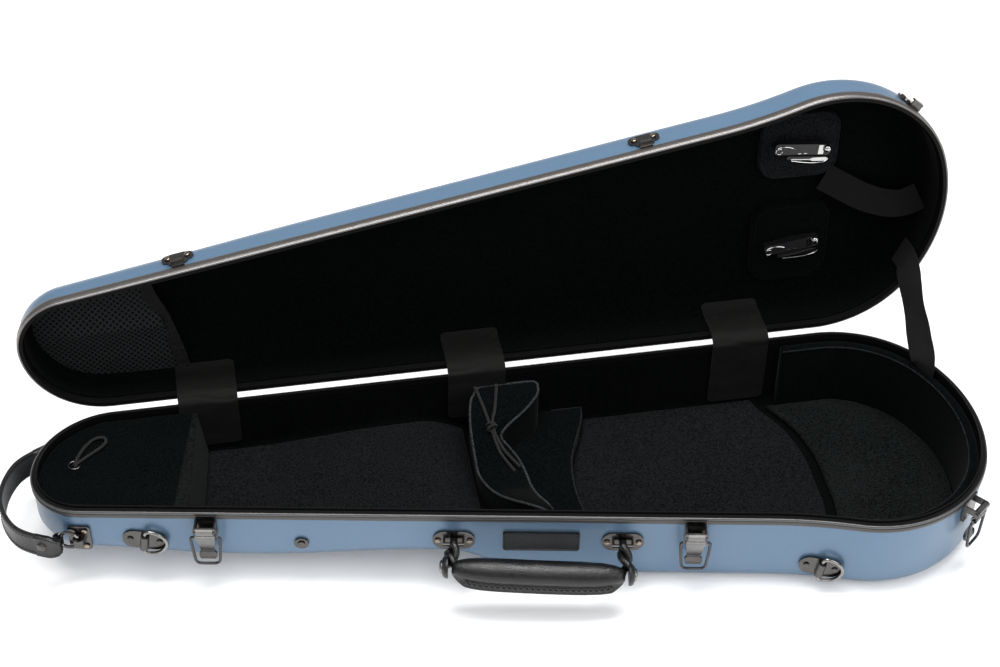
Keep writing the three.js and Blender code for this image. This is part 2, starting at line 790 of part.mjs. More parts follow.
const coverRoom = coverSlots(-coverInset - COVER_WALL, (x) => coverEnd(x) - SEAT_GAP, farBack);
const lidCoverRoom = coverSlots(-coverInset - lidLiningCorner / 2, () => 0, LID_HEIGHT);

// Divider and its flap at the scroll end

const hingeBack = { x: DIVIDER_BACK_X, y: -roomInset };
const hingeFront = { x: DIVIDER_FRONT_X, y: -DIVIDER_FRONT_Y };
const hingeRun = (hingeBack.x - hingeFront.x) / (hingeBack.y - hingeFront.y);

/** Place of the slanted edge between flap and divider, for any y. */
function flapEdge(y) {
  return hingeBack.x + (y - hingeBack.y) * hingeRun;
}

function addDivider() {
  const rightAt = (y) => {
    const t = (hingeBack.y - y) / (hingeBack.y - hingeFront.y);
    return flapEdge(y) + THREE.MathUtils.lerp(DIVIDER_BACK_WALL, DIVIDER_FRONT_WALL, t);
  };
  const low = -NECK_DEPTH;
  const rows = [farBack, -DIVIDER_FRONT_Y - CUT_MARGIN].map((y) => [
    [flapEdge(y), y, low], [flapEdge(y), y, -DIVIDER_TOP],
    [rightAt(y), y, -DIVIDER_TOP], [rightAt(y) + DIVIDER_LEAN, y, low],
  ]);
  place(caseGroup, 'accessory_divider', solid(skin(rows)).intersect(baseRoom).subtract(coverRoom), 'velour');
  return (y) => rightAt(y) + DIVIDER_LEAN + SEAT_GAP;
}

const neckPadFrom = addDivider();

/** Loop of the pull cord round its eyelet, as shares of PULL_LOOP. */
const loopShares = [
  [-0.23, -0.38], [-0.19, -0.12], [0.15, 0.46], [0.77, 0.92],
  [1, 0.85], [0.92, 0.58], [0.35, 0.15], [0.08, -0.31],
];

function addFlap() {
  const flap = new THREE.Group();
  const edge = (y) => flapEdge(y) - SEAT_GAP;
  const outline = [
    [-CUT_MARGIN, farBack], [-CUT_MARGIN, farFront], [edge(farFront), farFront], [edge(farBack), farBack],
  ];
  const panel = solid(prism(outline, -FLAP_TOP - FLAP, -FLAP_TOP)).intersect(baseRoom);
  place(flap, 'accessory_flap', panel.subtract(coverRoom), 'velour');
  const up = -FLAP_TOP + SEAT_GAP + CORD_RADIUS;
  const eyelet = { x: eyeletShares[0] * LENGTH, y: -eyeletShares[1] * WIDTH };
  const route = loopShares.map(
    ([right, back]) => [eyelet.x + right * PULL_LOOP, eyelet.y + back * PULL_LOOP, up],
  );
  const cord = sweep(smooth(route, CORD_BENDS * 2), circleSection(CORD_RADIUS, 6), [0, 0, 1]);
  place(flap, 'flap_pull_cord', cord, 'leather');
  caseGroup.add(flap);
}

addFlap();

// Pads on the floor and along the walls

function addNeckPad() {
  const above = roomOf(base, BASE_LINING_CORNER, 0, NECK_PAD, 0);
  const to = CRADLE_X - SEAT_GAP;
  const outline = [
    [neckPadFrom(farBack), farBack], [neckPadFrom(farFront), farFront], [to, farFront], [to, farBack],
  ];
  const pad = solid(prism(outline, -BODY_DEPTH, 0)).intersect(baseRoom).subtract(above);
  place(caseGroup, 'neck_pad', pad, 'pad');
}

addNeckPad();

/** Top of the saddle that holds the neck: shares of WIDTH across, then its run and its drop. */
const saddleShares = [
  [0, 1, 0.17], [0.1, 0.93, 0.19], [0.17, 0.66, 0.25], [0.235, 0.36, 0.36], [0.3, 0.5, 0.45],
  [0.37, 0.58, 0.49], [0.46, 0.6, 0.46], [0.55, 0.62, 0.33], [0.64, 0.66, 0.17], [0.72, 0.7, 0.07],
  [0.8, 0.7, 0.06],
];

/** The foot of the saddle rises over the step in the floor. */
function addCradle() {
  const rows = saddleShares.map(([across, run, drop]) => {
    const y = -across * WIDTH;
    const to = CRADLE_X + run * CRADLE_RUN;
    const top = -drop * BODY_DEPTH;
    const low = -BODY_DEPTH;
    return [
      [CRADLE_X, y, low], [CRADLE_X, y, top - CRADLE_BEVEL], [CRADLE_X + CRADLE_BEVEL, y, top],
      [to - CRADLE_BEVEL, y, top], [to, y, top - CRADLE_BEVEL], [to, y, low],
    ];
  });
  place(caseGroup, 'neck_cradle', solid(skin(rows)).intersect(baseRoom).subtract(coverRoom), 'velour');
}

addCradle();

/** The step beside the saddle, whose edge follows the violin's shoulder. */
const shoulderShares = [
  [0, 0.605], [0.028, 0.6], [0.1, 0.595], [0.19, 0.584],
  [0.33, 0.57], [0.46, 0.567], [0.56, 0.57], [0.8, 0.585],
];

function shoulderEdge(gap) {
  return shoulderShares.map(([across, along]) => [along * LENGTH + gap, -across * WIDTH]);
}

function addBlock() {
  const saddleSide = saddleShares.map(([across, run]) => [
    CRADLE_X + run * CRADLE_RUN + SEAT_GAP, -across * WIDTH,
  ]);
  const outline = [...saddleSide, ...shoulderEdge(0).reverse()];
  const block = solid(prism(outline, -BODY_DEPTH, padTop + BLOCK_HEIGHT)).intersect(baseRoom);
  place(caseGroup, 'shoulder_block', block, 'velour');
}

addBlock();

/** The arc across the floor where the body pad ends, and the end pad after it. */
const grooveShares = [
  [-0.02, 0.795], [0.034, 0.797], [0.24, 0.825], [0.4, 0.833], [0.56, 0.833], [0.7, 0.828], [1.02, 0.812],
];

function grooveEdge(gap) {
  return grooveShares.map(([across, along]) => [along * LENGTH + gap, -across * WIDTH]);
}

/** Inner face of the side cushion: inset and height of each row, from the floor up. */
function cushionHollow() {
  const swell = CUSHION + LINING / 2;
  const rows = [
    [CUSHION, -BODY_DEPTH], [swell, -BODY_DEPTH / 2], [swell, -CUSHION_DROP - CUSHION],
    [CUSHION, -CUSHION_DROP - LINING / 2], [CUSHION - LINING, -CUSHION_DROP + SEAT_GAP],
  ];
  const levels = rows.map(([inset, height]) => rowAt(roomInset + inset, () => height));
  return solid(spineBody(levels, () => -BODY_DEPTH, () => -CUSHION_DROP + SEAT_GAP));
}

function addCushions() {
  const end = LENGTH + CUT_MARGIN;
  const back = CUSHION_X + CUSHION_LEAN;
  const zone = (gap) => solid(prism(
    [[back - gap, farBack], [CUSHION_X - gap, farFront], [end, farFront], [end, farBack]],
    -BODY_DEPTH, -CUSHION_DROP,
  ));
  place(caseGroup, 'side_cushion', zone(0).intersect(baseRoom).subtract(cushionHollow()), 'pad');
  const cushionClear = solid(filling(base, {
    inset: roomInset + CUSHION + LINING, thickness: roomThickness + SEAT_GAP, radius: SEAT_GAP, edge: 0,
  }, 1));
  const bodyOutline = [...shoulderEdge(SEAT_GAP), ...grooveEdge(0).reverse()];
  const body = solid(prism(bodyOutline, -BODY_DEPTH, padTop)).intersect(baseRoom);
  place(caseGroup, 'body_pad', body.subtract(zone(SEAT_GAP).subtract(cushionClear)), 'pad');
  const endOutline = [...grooveEdge(GROOVE), [end, farFront], [end, farBack]];
  const endPad = solid(prism(endOutline, -BODY_DEPTH, padTop)).intersect(cushionClear);
  place(caseGroup, 'end_pad', endPad, 'pad');
}

addCushions();

// Draw latches

const latchPivot = { out: LATCH_PIVOT_OUT, up: -LATCH_PIVOT_DROP };
const bailPivot = { out: BAIL_PIVOT_OUT, up: -BAIL_PIVOT_DROP };
const halfInside = LATCH_WIDTH / 2 - EAR - SEAT_GAP;

/** Ear profile: a plate that stands out of the wall and is round about the pivot. */
function earShape() {
  const shape = new THREE.Shape();
  shape.moveTo(0, latchPivot.up + EAR_RADIUS);
  shape.lineTo(latchPivot.out, latchPivot.up + EAR_RADIUS);
  shape.absarc(latchPivot.out, latchPivot.up, EAR_RADIUS, QUARTER, -QUARTER, true);
  shape.lineTo(0, latchPivot.up - EAR_RADIUS);
  return shape;
}

function latchPlate() {
  const frameFoot = -BASE_FRAME_HEIGHT - SEAT_GAP;
  const bottom = -LATCH_TOP - LATCH_HEIGHT;
  const plate = polygonShape([
    [SEAT_GAP, -LATCH_TOP], [SEAT_GAP + LATCH_PLATE, -LATCH_TOP], [SEAT_GAP + LATCH_PLATE, bottom],
    [shellSeat, bottom], [shellSeat, frameFoot], [SEAT_GAP, frameFoot],
  ]);
  const earPlace = (LATCH_WIDTH - EAR) / 2;
  const pinLength = LATCH_WIDTH + LATCH_PIN_RADIUS;
  return joined(
    alongWall(plate, LATCH_WIDTH),
    alongWall(earShape(), EAR, earPlace),
    alongWall(earShape(), EAR, -earPlace),
    barAlong(LATCH_PIN_RADIUS, pinLength, latchPivot.out, latchPivot.up),
  );
}

/** The lever past the bail: shares of the pivot's distance, of the way to the tip and of LEVER_WIDTH. */
const leverShares = [
  [0.75, 0.36, 0.8], [0.5, 0.68, 0.68], [0.47, 0.77, 0.68],
  [0.52, 0.83, 0.9], [0.6, 0.93, 0.9], [0.68, 1, 0.72],
];

/** Lever: a barrel on the pin, a flat arm that carries the bail, a groove and a thumb tab. */
function latchLever() {
  const neck = LEVER_WALL / 2;
  const tip = latchPivot.up - LEVER_LENGTH;
  const slope = [
    [latchPivot.out, latchPivot.up - EAR_RADIUS / 2, halfInside],
    [latchPivot.out, latchPivot.up - EAR_RADIUS - SEAT_GAP, halfInside],
    [latchPivot.out, latchPivot.up - EAR_RADIUS - neck, LEVER_WIDTH / 2],
    [bailPivot.out, bailPivot.up, LEVER_WIDTH / 2],
    ...leverShares.map(([out, way, wide]) => [
      bailPivot.out * out, THREE.MathUtils.lerp(bailPivot.up, tip, way), LEVER_WIDTH / 2 * wide,
    ]),
  ];
  const path = slope.map(([out, up]) => [0, -out, up]);
  const arm = sweep(path, (k) => bandSection(slope[k][2] * 2, LEVER_WALL), [1, 0, 0]);
  const bore = barAlong(LATCH_PIN_RADIUS + SEAT_GAP, LATCH_WIDTH, latchPivot.out, latchPivot.up);
  const wireBore = barAlong(BAIL_WIRE + SEAT_GAP, LATCH_WIDTH, bailPivot.out, bailPivot.up);
  return joined(
    arm,
    barAlong(EAR_RADIUS, halfInside * 2, latchPivot.out, latchPivot.up),
    barAlong(EAR_RADIUS, LEVER_WIDTH, bailPivot.out, bailPivot.up),
  ).subtract(solid(bore)).subtract(solid(wireBore));
}

/** Wire bail, hanging from its pivot, with its ends turned into the lever. */
function latchBail() {
  const shoulder = BAIL_SHOULDER / 2;
  const foot = BAIL_FOOT / 2;
  const turnIn = LEVER_WIDTH / 2 + BAIL_WIRE + SEAT_GAP * 2;
  const half = [
    [halfInside, 0], [turnIn, 0], [shoulder, BAIL_WIRE], [shoulder, BAIL_SHOULDER_DROP],
    [foot + SEAT_GAP * 2, BAIL_LENGTH - BAIL_FOOT_RISE], [foot, BAIL_LENGTH - BAIL_WIRE],
    [foot - BAIL_WIRE, BAIL_LENGTH],
  ];
  const points = [...half, ...half.slice().reverse().map(([x, down]) => [-x, down])];
  const path = points.map(([x, down]) => [x, -bailPivot.out, bailPivot.up - down]);
  return sweep(path, circleSection(BAIL_WIRE, 6), [0, 1, 0]);
}

/** Hook plate on the lid: a groove that the bail pulls down on, and two riveted ears. */
function keeper() {
  const hookFoot = LID_FRAME_HEIGHT + SEAT_GAP * 2;
  const seat = BAR_RISE - BAIL_WIRE - SEAT_GAP;
  const inside = BAR_OUT - BAIL_WIRE - SEAT_GAP;
  const outside = BAR_OUT + BAIL_WIRE + SEAT_GAP;
  const face = shellSeat + PLATE;
  const hook = polygonShape([
    [shellSeat, hookFoot], [outside + PLATE, hookFoot], [outside + PLATE, BAR_RISE + BAIL_WIRE],
    [outside, BAR_RISE + BAIL_WIRE], [outside, seat], [inside, seat],
    [inside, BAR_RISE + PLATE * 2], [face, BAR_RISE + PLATE * 4], [shellSeat, BAR_RISE + PLATE * 4],
  ]);
  const earUp = BAR_RISE + KEEPER_EAR_RISE;
  const earHeight = RIVET_RADIUS * 4;
  const body = KEEPER_HEIGHT - BAR_RISE;
  const rivetX = KEEPER_WIDTH / 2 - earHeight / 2;
  return joined(
    alongWall(hook, HOOK_WIDTH),
    wallPlate(roundedShape(KEEPER_WIDTH, earHeight, earHeight / OVAL, 0, earUp), shellSeat, face),
    wallPlate(roundedShape(LEVER_WIDTH, body, RIVET_RADIUS, 0, BAR_RISE + body / 2), shellSeat, face),
    rivetAt(rivetX, earUp, face),
    rivetAt(-rivetX, earUp, face),
  );
}

const latchPoints = [
  ...latchShares.map((share) => frontAt(share * LENGTH)),
  arcPoint(frontCorner, FRONT_CORNER_RADIUS, radians(END_LATCH_ANGLE)),
];

latchPoints.forEach((point, k) => {
  const wall = onWall(caseGroup, point, 0);
  place(wall, `latch_plate_${k + 1}`, latchPlate(), 'nickel');
  place(wall, `latch_lever_${k + 1}`, latchLever(), 'nickel');
  place(wall, `latch_bail_${k + 1}`, latchBail(), 'bright');
  place(onWall(closedLid, point, 0), `latch_keeper_${k + 1}`, keeper(), 'nickel');
});

// Carrying handle

/** Oval plate with two rivets and a bar on posts that a leather tab loops round. */
function handleAnchor(centre) {
  const face = shellSeat + PLATE;
  const oval = roundedShape(ANCHOR_WIDTH, ANCHOR_HEIGHT, ANCHOR_HEIGHT / OVAL, centre, 0);
  const post = (side) => {
    const x = centre + side * (BRIDGE_SPAN - BRIDGE_BAR) / 2;
    const outline = roundedShape(BRIDGE_BAR, BRIDGE_BAR * 2, BRIDGE_BAR / 4, x, 0);
    return wallPlate(outline, face - SEAT_GAP, BRIDGE_OUT);
  };
  const rivetX = (ANCHOR_WIDTH + BRIDGE_SPAN) / 4;
  return joined(
    wallPlate(oval, shellSeat, face),
    post(1),
    post(-1),
    barAlong(BRIDGE_BAR, BRIDGE_SPAN, BRIDGE_OUT, 0, centre),
    rivetAt(centre + rivetX, 0, face),
    rivetAt(centre - rivetX, 0, face),
  );
}

/** Leather tab: a loop round the bar, an arm, and a round end on the grip. */
function handleTab(centre) {
  const eye = BRIDGE_BAR + SEAT_GAP;
  const loopRadius = eye + TAB_WALL / 2;
  const gripUp = HANDLE_DROP - GRIP_DROP;
  const run = Math.hypot(GRIP_OUT - BRIDGE_OUT, gripUp);
  const [ax, ay] = [(GRIP_OUT - BRIDGE_OUT) / run, gripUp / run];
  const side = TAB_WALL / 2;
  const arm = polygonShape([
    [BRIDGE_OUT - ay * side, ax * side], [BRIDGE_OUT + ay * side, -ax * side],
    [GRIP_OUT + ay * side, gripUp - ax * side], [GRIP_OUT - ay * side, gripUp + ax * side],
  ]);
  return joined(
    alongWall(discShape(BRIDGE_OUT, 0, loopRadius), TAB_WIDTH, centre),
    alongWall(arm, TAB_WIDTH, centre),
    alongWall(discShape(GRIP_OUT, gripUp, GRIP_END_RADIUS), TAB_WIDTH, centre),
  ).subtract(solid(barAlong(eye, TAB_WIDTH * 2, BRIDGE_OUT, 0, centre)));
}

/** Girth of the grip from its middle to its end, as shares of its half length and of GRIP_RADIUS. */
const girthShares = [[0, 1], [0.5, 0.97], [0.8, 0.88], [1, 0.66]];

/** Rolled leather grip, fuller in the middle, with a stitched seam along its lower front. */
function handleGrip() {
  const half = GRIP_LENGTH / 2;
  const gripUp = HANDLE_DROP - GRIP_DROP;
  const girthAt = (side) => ([along, girth]) => new THREE.Vector2(girth * GRIP_RADIUS, side * along * half);
  const profile = [
    new THREE.Vector2(0, -half),
    ...girthShares.slice().reverse().map(girthAt(-1)),
    ...girthShares.slice(1).map(girthAt(1)),
    new THREE.Vector2(0, half),
  ];
  const roll = new THREE.LatheGeometry(profile, 14).rotateZ(QUARTER).translate(0, -GRIP_OUT, gripUp);
  const seamOut = GRIP_RADIUS + SEAM_DEPTH;
  const seam = polygonShape([
    [0, -SEAM_WALL / 2], [0, SEAM_WALL / 2], [seamOut, SEAM_WALL / 2], [seamOut, -SEAM_WALL / 2],
  ]);
  const flange = alongWall(seam, GRIP_LENGTH * SEAM_SHARE);
  flange.rotateX(radians(SEAM_TILT)).translate(0, -GRIP_OUT, gripUp);
  return joined(roll, flange).add(handleTab(HANDLE_SPAN / 2)).add(handleTab(-HANDLE_SPAN / 2));
}

const handleWall = onWall(caseGroup, frontAt(HANDLE_SHARE * LENGTH), -HANDLE_DROP);
place(handleWall, 'handle_anchor_1', handleAnchor(-HANDLE_SPAN / 2), 'nickel');
place(handleWall, 'handle_anchor_2', handleAnchor(HANDLE_SPAN / 2), 'nickel');
place(handleWall, 'handle_grip', handleGrip(), 'leather');

// Shoulder strap rings

/** Block that holds a wire lying up the wall, with a bore for a loose one. */
function wireBridge(x, out, length, wire, slack) {
  const face = shellSeat + PLATE;
  const width = (wire + slack + PLATE) * 2;
  const shape = new THREE.Shape();
  shape.moveTo(x - width / 2, -face + SEAT_GAP);
  shape.lineTo(x - width / 2, -out);
  shape.absarc(x, -out, width / 2, Math.PI, Math.PI * 2);
  shape.lineTo(x + width / 2, -face + SEAT_GAP);
  if (slack > 0) {
    shape.holes.push(new THREE.Path().absarc(x, -out, wire + slack, 0, Math.PI * 2));
  }
  const settings = { depth: length, bevelEnabled: false, curveSegments: ROUND_PARTS };
  return new THREE.ExtrudeGeometry(shape, settings).translate(0, 0, -length / 2);
}

/** A ring plate on a hollow wall stands clear of it by the hollow's rise under its ends. */
function ringSeat(point) {
  const rises = [-RING_PLATE_WIDTH / 2, RING_PLATE_WIDTH / 2].map((run) => {
    const end = frontAt(point.x - point.ny * run);
    return (end.x - point.x) * point.nx + (end.y - point.y) * point.ny;
  });
  return Math.max(0, ...rises) * 2;
}

/** Loose bow of a strap ring, as shares of RING_REACH and of half of RING_HEIGHT. */
const bowShares = [[0, -1], [0, 1], [0.35, 1.1], [0.75, 0.8], [1, 0], [0.75, -0.8], [0.35, -1.1]];

function addStrapRing(share, drop, number) {
  const point = frontAt(share * LENGTH);
  const wall = onWall(caseGroup, point, -drop);
  const mount = new THREE.Group();
  mount.position.y = -ringSeat(point);
  mount.rotation.y = radians(RING_TILT);
  wall.add(mount);
  const face = shellSeat + PLATE;
  const oval = roundedShape(RING_PLATE_WIDTH, RING_PLATE_HEIGHT, RING_PLATE_HEIGHT / OVAL);
  const rivetX = RING_PLATE_WIDTH / 2 - RING_RIVET_INSET;
  const plate = joined(
    wallPlate(oval, shellSeat, face),
    wireBridge(0, RING_OUT, RING_BRIDGE, RING_WIRE, SEAT_GAP),
    rivetAt(rivetX, 0, face),
    rivetAt(-rivetX, 0, face),
  );
  place(mount, `ring_plate_${number}`, plate.subtract(solid(
    new THREE.CylinderGeometry(RING_WIRE + SEAT_GAP, RING_WIRE + SEAT_GAP, RING_PLATE_WIDTH, ROUND_PARTS * 2)
      .rotateX(QUARTER).translate(0, -RING_OUT, 0),
  )), 'nickel');
  const path = bowShares.map(([out, up]) => [out * RING_REACH, -RING_OUT, up * RING_HEIGHT / 2]);
  place(mount, `strap_ring_${number}`, sweep(path, circleSection(RING_WIRE, 8), [0, 1, 0], true), 'bright');
}

ringShares.forEach((share, k) => addStrapRing(share, RING_DROPS[k], k + 1));

// Band handle round the scroll end

/** Riveted plate with a bore for a loose ring, or with a fixed one. */
function endPlate(fixedRing) {
  const face = shellSeat + PLATE;
  const shape = roundedShape(END_PLATE_WIDTH, END_PLATE_HEIGHT, RIVET_RADIUS);
  const slack = fixedRing ? 0 : SEAT_GAP * 5;
  const wire = RING_WIRE;
  const rivetUp = END_PLATE_HEIGHT / 2 - END_RIVET_INSET;
  const rivetX = END_PLATE_WIDTH / 2 - END_RIVET_INSET;
  const plate = joined(
    wallPlate(shape, shellSeat, face),
    wireBridge(0, END_RING_OUT + slack / 2, RING_BRIDGE / 2, wire, slack),
    rivetAt(rivetX, rivetUp, face),
    rivetAt(rivetX, -rivetUp, face),
  );
  if (fixedRing) {
    return plate.add(solid(fixedRing));
  }
  return plate.subtract(solid(
    new THREE.CylinderGeometry(wire + slack, wire + slack, END_PLATE_HEIGHT, ROUND_PARTS * 2)
      .rotateX(QUARTER).translate(0, -END_RING_OUT - slack / 2, 0),
  ));
}

/** The band round the scroll end: degrees about its tip, and shares of BAND_REACH. */
const bandShares = [[-120, 0.56], [-150, 0.9], [180, 1], [150, 0.95], [125, 0.72]];

function addEndHandle() {
  const front = arcPoint(scrollTip, SCROLL_TIP_RADIUS, radians(END_FRONT_ANGLE));
  const back = arcPoint(scrollBack, SCROLL_BACK_RADIUS, radians(END_BACK_ANGLE));
  const frontWall = onWall(caseGroup, front, -END_PLATE_DROP);
  const backWall = onWall(caseGroup, back, -END_PLATE_DROP);
  const ringPath = (side, lift) => circleSection(END_RING_RADIUS, 14)
    .map(([x, up]) => [x + side * END_RING_RADIUS, -END_RING_OUT - lift, up]);
  const ring = (side, lift) => sweep(ringPath(side, lift), circleSection(RING_WIRE, 6), [0, 1, 0], true);
  place(frontWall, 'end_plate_front', endPlate(null), 'nickel');
  place(frontWall, 'end_ring', ring(-1, 0), 'bright');
  place(backWall, 'end_plate_back', endPlate(ring(1, SEAT_GAP)), 'nickel');
  const far = END_RING_RADIUS * 2;
  const eyeAt = (wall, side) => {
    wall.updateMatrix();
    return new THREE.Vector3(side * far, -END_RING_OUT, 0).applyMatrix4(wall.matrix);
  };
  const from = eyeAt(frontWall, -1);
  const to = eyeAt(backWall, 1);
  const bandAt = (degrees, reach) => {
    const p = around(scrollTip, SCROLL_TIP_RADIUS + reach, radians(degrees));
    return [p.x, p.y, -END_PLATE_DROP];
  };
  const eye = BAND_EYE;
  const route = [
    [from.x, from.y, -END_PLATE_DROP],
    ...bandShares.map(([degrees, out]) => bandAt(degrees, out * BAND_REACH)),
    [to.x, to.y, -END_PLATE_DROP],
  ];
  const path = smooth(route, 24);
  const last = path.length - 1;
  const heightShare = (k) => THREE.MathUtils.smoothstep(Math.min(k, last - k), 0, 3);
  const height = (k) => THREE.MathUtils.lerp(RING_BRIDGE / 2, BAND_HEIGHT, heightShare(k));
  const band = sweep(path, (k) => bandSection(height(k), BAND_WALL), [0, 0, 1]);
  const post = (point, radius, tall) => new THREE.CylinderGeometry(radius, radius, tall, ROUND_PARTS * 2)
    .rotateX(QUARTER).translate(point.x, point.y, -END_PLATE_DROP);
  const strap = joined(band, post(from, eye + PLATE, RING_BRIDGE / 2), post(to, eye + PLATE, RING_BRIDGE / 2))
    .subtract(solid(post(from, eye, END_PLATE_HEIGHT)))
    .subtract(solid(post(to, eye, END_PLATE_HEIGHT)));
  place(caseGroup, 'end_handle', strap, 'leather');
}

addEndHandle();

// Badge plate and stud on the front

const badgeWall = onWall(caseGroup, frontAt(BADGE_SHARE * LENGTH), -BADGE_DROP);
const badgeShape = roundedShape(BADGE_WIDTH, BADGE_HEIGHT, RIVET_RADIUS);
place(badgeWall, 'badge_plate', wallPlate(badgeShape, shellSeat, shellSeat + BADGE_WALL), 'nickel');
const studWall = onWall(caseGroup, frontAt(STUD_SHARE * LENGTH), -STUD_DROP);
const studFace = shellSeat + PLATE;
place(studWall, 'stud_washer', joined(
  wallPlate(discShape(0, 0, STUD_RADIUS), shellSeat, studFace, ROUND_PARTS),
  wallPlate(discShape(0, 0, STUD_RADIUS / 2), studFace - PLATE / 2, studFace + RIVET_RISE, ROUND_PARTS),
), 'nickel');

// Hinges

/** Leaf against the back wall that steps out over the rim frame to its knuckles. */
function hingeLeaf(side, frameHeight, spans) {
  const top = SEAT_GAP + HINGE_LEAF;
  const seat = -FRAME_PROUD + SEAT_GAP;
  const knee = side * (frameHeight + SEAT_GAP);
  const foot = side * HINGE_LEAF_HEIGHT;
  const near = side * (KNUCKLE_RADIUS - SEAT_GAP);
  const leaf = polygonShape([
    [-SEAT_GAP, near], [-top, near], [-top, foot], [-seat, foot], [-seat, knee], [-SEAT_GAP, knee],
  ]);
  const web = polygonShape([
    [-SEAT_GAP, near + side * PIN_RADIUS], [-top, near + side * PIN_RADIUS], [-top, 0], [-SEAT_GAP, 0],
  ]);
  let whole = solid(alongWall(leaf, HINGE_WIDTH));
  for (const [from, to] of spans) {
    const middle = (from + to) / 2;
    whole = whole.add(solid(alongWall(web, to - from, middle)));
    whole = whole.add(solid(alongWall(discShape(-HINGE_OFFSET, 0, KNUCKLE_RADIUS), to - from, middle)));
  }
  return whole;
}

function addHinge(x, number) {
  const outer = HINGE_WIDTH / 2;
  const inner = HINGE_WIDTH / 6;
  const gap = SEAT_GAP / 2;
  const group = new THREE.Group();
  group.position.x = x;
  caseGroup.add(group);
  const lower = hingeLeaf(-1, BASE_FRAME_HEIGHT, [[-outer, -inner - gap], [inner + gap, outer]]);
  const pin = barAlong(PIN_RADIUS, HINGE_WIDTH, -HINGE_OFFSET, 0);
  place(group, `hinge_base_leaf_${number}`, lower.add(solid(pin)), 'nickel');
  const upperGroup = new THREE.Group();
  upperGroup.position.x = x;
  closedLid.add(upperGroup);
  const bore = barAlong(PIN_RADIUS + SEAT_GAP, HINGE_WIDTH, -HINGE_OFFSET, 0);
  const upper = hingeLeaf(1, LID_FRAME_HEIGHT, [[-inner + gap, inner - gap]]).subtract(solid(bore));
  place(upperGroup, `hinge_lid_leaf_${number}`, upper, 'nickel');
}

hingeShares.forEach((share, k) => addHinge(share * LENGTH, k + 1));

/** Place in the open case of a point of the closed lid. */
function opened(x, y, up) {
  const angle = radians(OPEN_ANGLE);
  const reach = y - HINGE_OFFSET;
  return [
    x,
    HINGE_OFFSET + reach * Math.cos(angle) + up * Math.sin(angle),
    up * Math.cos(angle) - reach * Math.sin(angle),
  ];
}

/** Flap over a hinge: down the lining, over both rims and up the lid's back wall to its corner. */
function addHingeCover(x, number) {
  const y = -coverInset;
  const low = [x, y, coverEnd(x)];
  const wallTop = heightAt(x - COVER_WIDTH / 2) - lid.radius;
  const bend = lidLiningCorner - COVER_WALL - SEAT_GAP;
  const corner = [0, 1, 2].map((part) => {
    const angle = QUARTER * part / LID_BENDS;
    return opened(x, y - bend * (1 - Math.cos(angle)), wallTop + bend * Math.sin(angle));
  });
  const over = opened(x, y, SEAL_RISE);
  const path = [
    low, [x, y, coverEnd(x) / 2], [x, y, 0], [x, y + COVER_WALL, SEAL_RISE * 2],
    [x, (y + over[1]) / 2, over[2] - COVER_WALL], over, ...corner,
  ];
  const flap = sweep(path, bandSection(COVER_WIDTH, COVER_WALL), [1, 0, 0]);
  place(caseGroup, `hinge_cover_${number}`, flap, 'leather');
}

hingeShares.forEach((share, k) => addHingeCover(share * LENGTH, k + 1));

/** Ribbon that stops the lid, from the top of the side cushion to the lid's lining. */
function addStay() {
  const point = arcPoint(backCorner, BACK_CORNER_RADIUS, radians(STAY_ANGLE));
  const inset = roomInset + RIBBON_WALL * 3;
  const x = point.x - point.nx * inset;
  const y = point.y - point.ny * inset;
  const foot = -CUSHION_DROP + SEAT_GAP * 2;
  const over = SEAL_RISE * 2;
  const rows = [[x, y, foot], [x, y, over], opened(x, y, over), opened(x, y, LID_HEIGHT / 2)];
  const lean = (t) => {
    const turn = radians(OPEN_ANGLE) * THREE.MathUtils.smoothstep(t, 1 / 4, 3 / 4);
    return [point.ny, -point.nx * Math.cos(turn), point.nx * Math.sin(turn)];
  };
  const between = [1, 2, 3, 4].map((part) => rows[1].map(
    (v, axis) => THREE.MathUtils.lerp(v, rows[2][axis], part / STAY_PARTS),
  ));
  const path = [rows[0], rows[1], ...between, rows[2], rows[3]];
  place(caseGroup, 'lid_stay', sweep(path, bandSection(STAY_WIDTH, RIBBON_WALL), lean), 'ribbon');
}

addStay();

// Cord that ties the neck to the saddle

function saddleTop(y) {
  return -fromShares(saddleShares.map(([across, , drop]) => [across, drop]), -y / WIDTH, BODY_DEPTH);
}

/** The cord's two strands and their knot, as shares of CRADLE_RUN and of WIDTH. */
const knotShares = [0.242, 0.22];
const leftShares = [[0.136, 0.051], [0.182, 0.136], knotShares, [0.303, 0.297], [0.439, 0.39]];
const rightShares = [[0.409, 0.051], [0.333, 0.144], knotShares, [0.348, 0.288], [0.515, 0.373]];

function addTieCord() {
  const placed = ([run, across]) => [CRADLE_X + run * CRADLE_RUN, -across * WIDTH];
  const laid = ([x, y]) => [x, y, saddleTop(y) + CORD_RADIUS * 2];
  const strand = (shares) => {
    const path = smooth(shares.map((share) => [...placed(share), 0]), CORD_BENDS).map(laid);
    return solid(sweep(path, circleSection(CORD_RADIUS, 5), [0, 0, 1]));
  };
  const left = strand(leftShares);
  const right = strand(rightShares);
  const middle = laid(placed(knotShares));
  const bead = new THREE.SphereGeometry(CORD_RADIUS * 2, 8, 6)
    .translate(middle[0], middle[1], middle[2] + CORD_RADIUS);
  place(caseGroup, 'neck_tie_cord', left.add(right).add(solid(bead)), 'leather');
}

addTieCord();

// Fittings in the lid, drawn with the lid closed

const lidRoomTop = LID_HEIGHT - roomThickness;
const bowPadFace = lidRoomTop - BOW_PAD;
const bowX = BOW_SHARE * LENGTH;

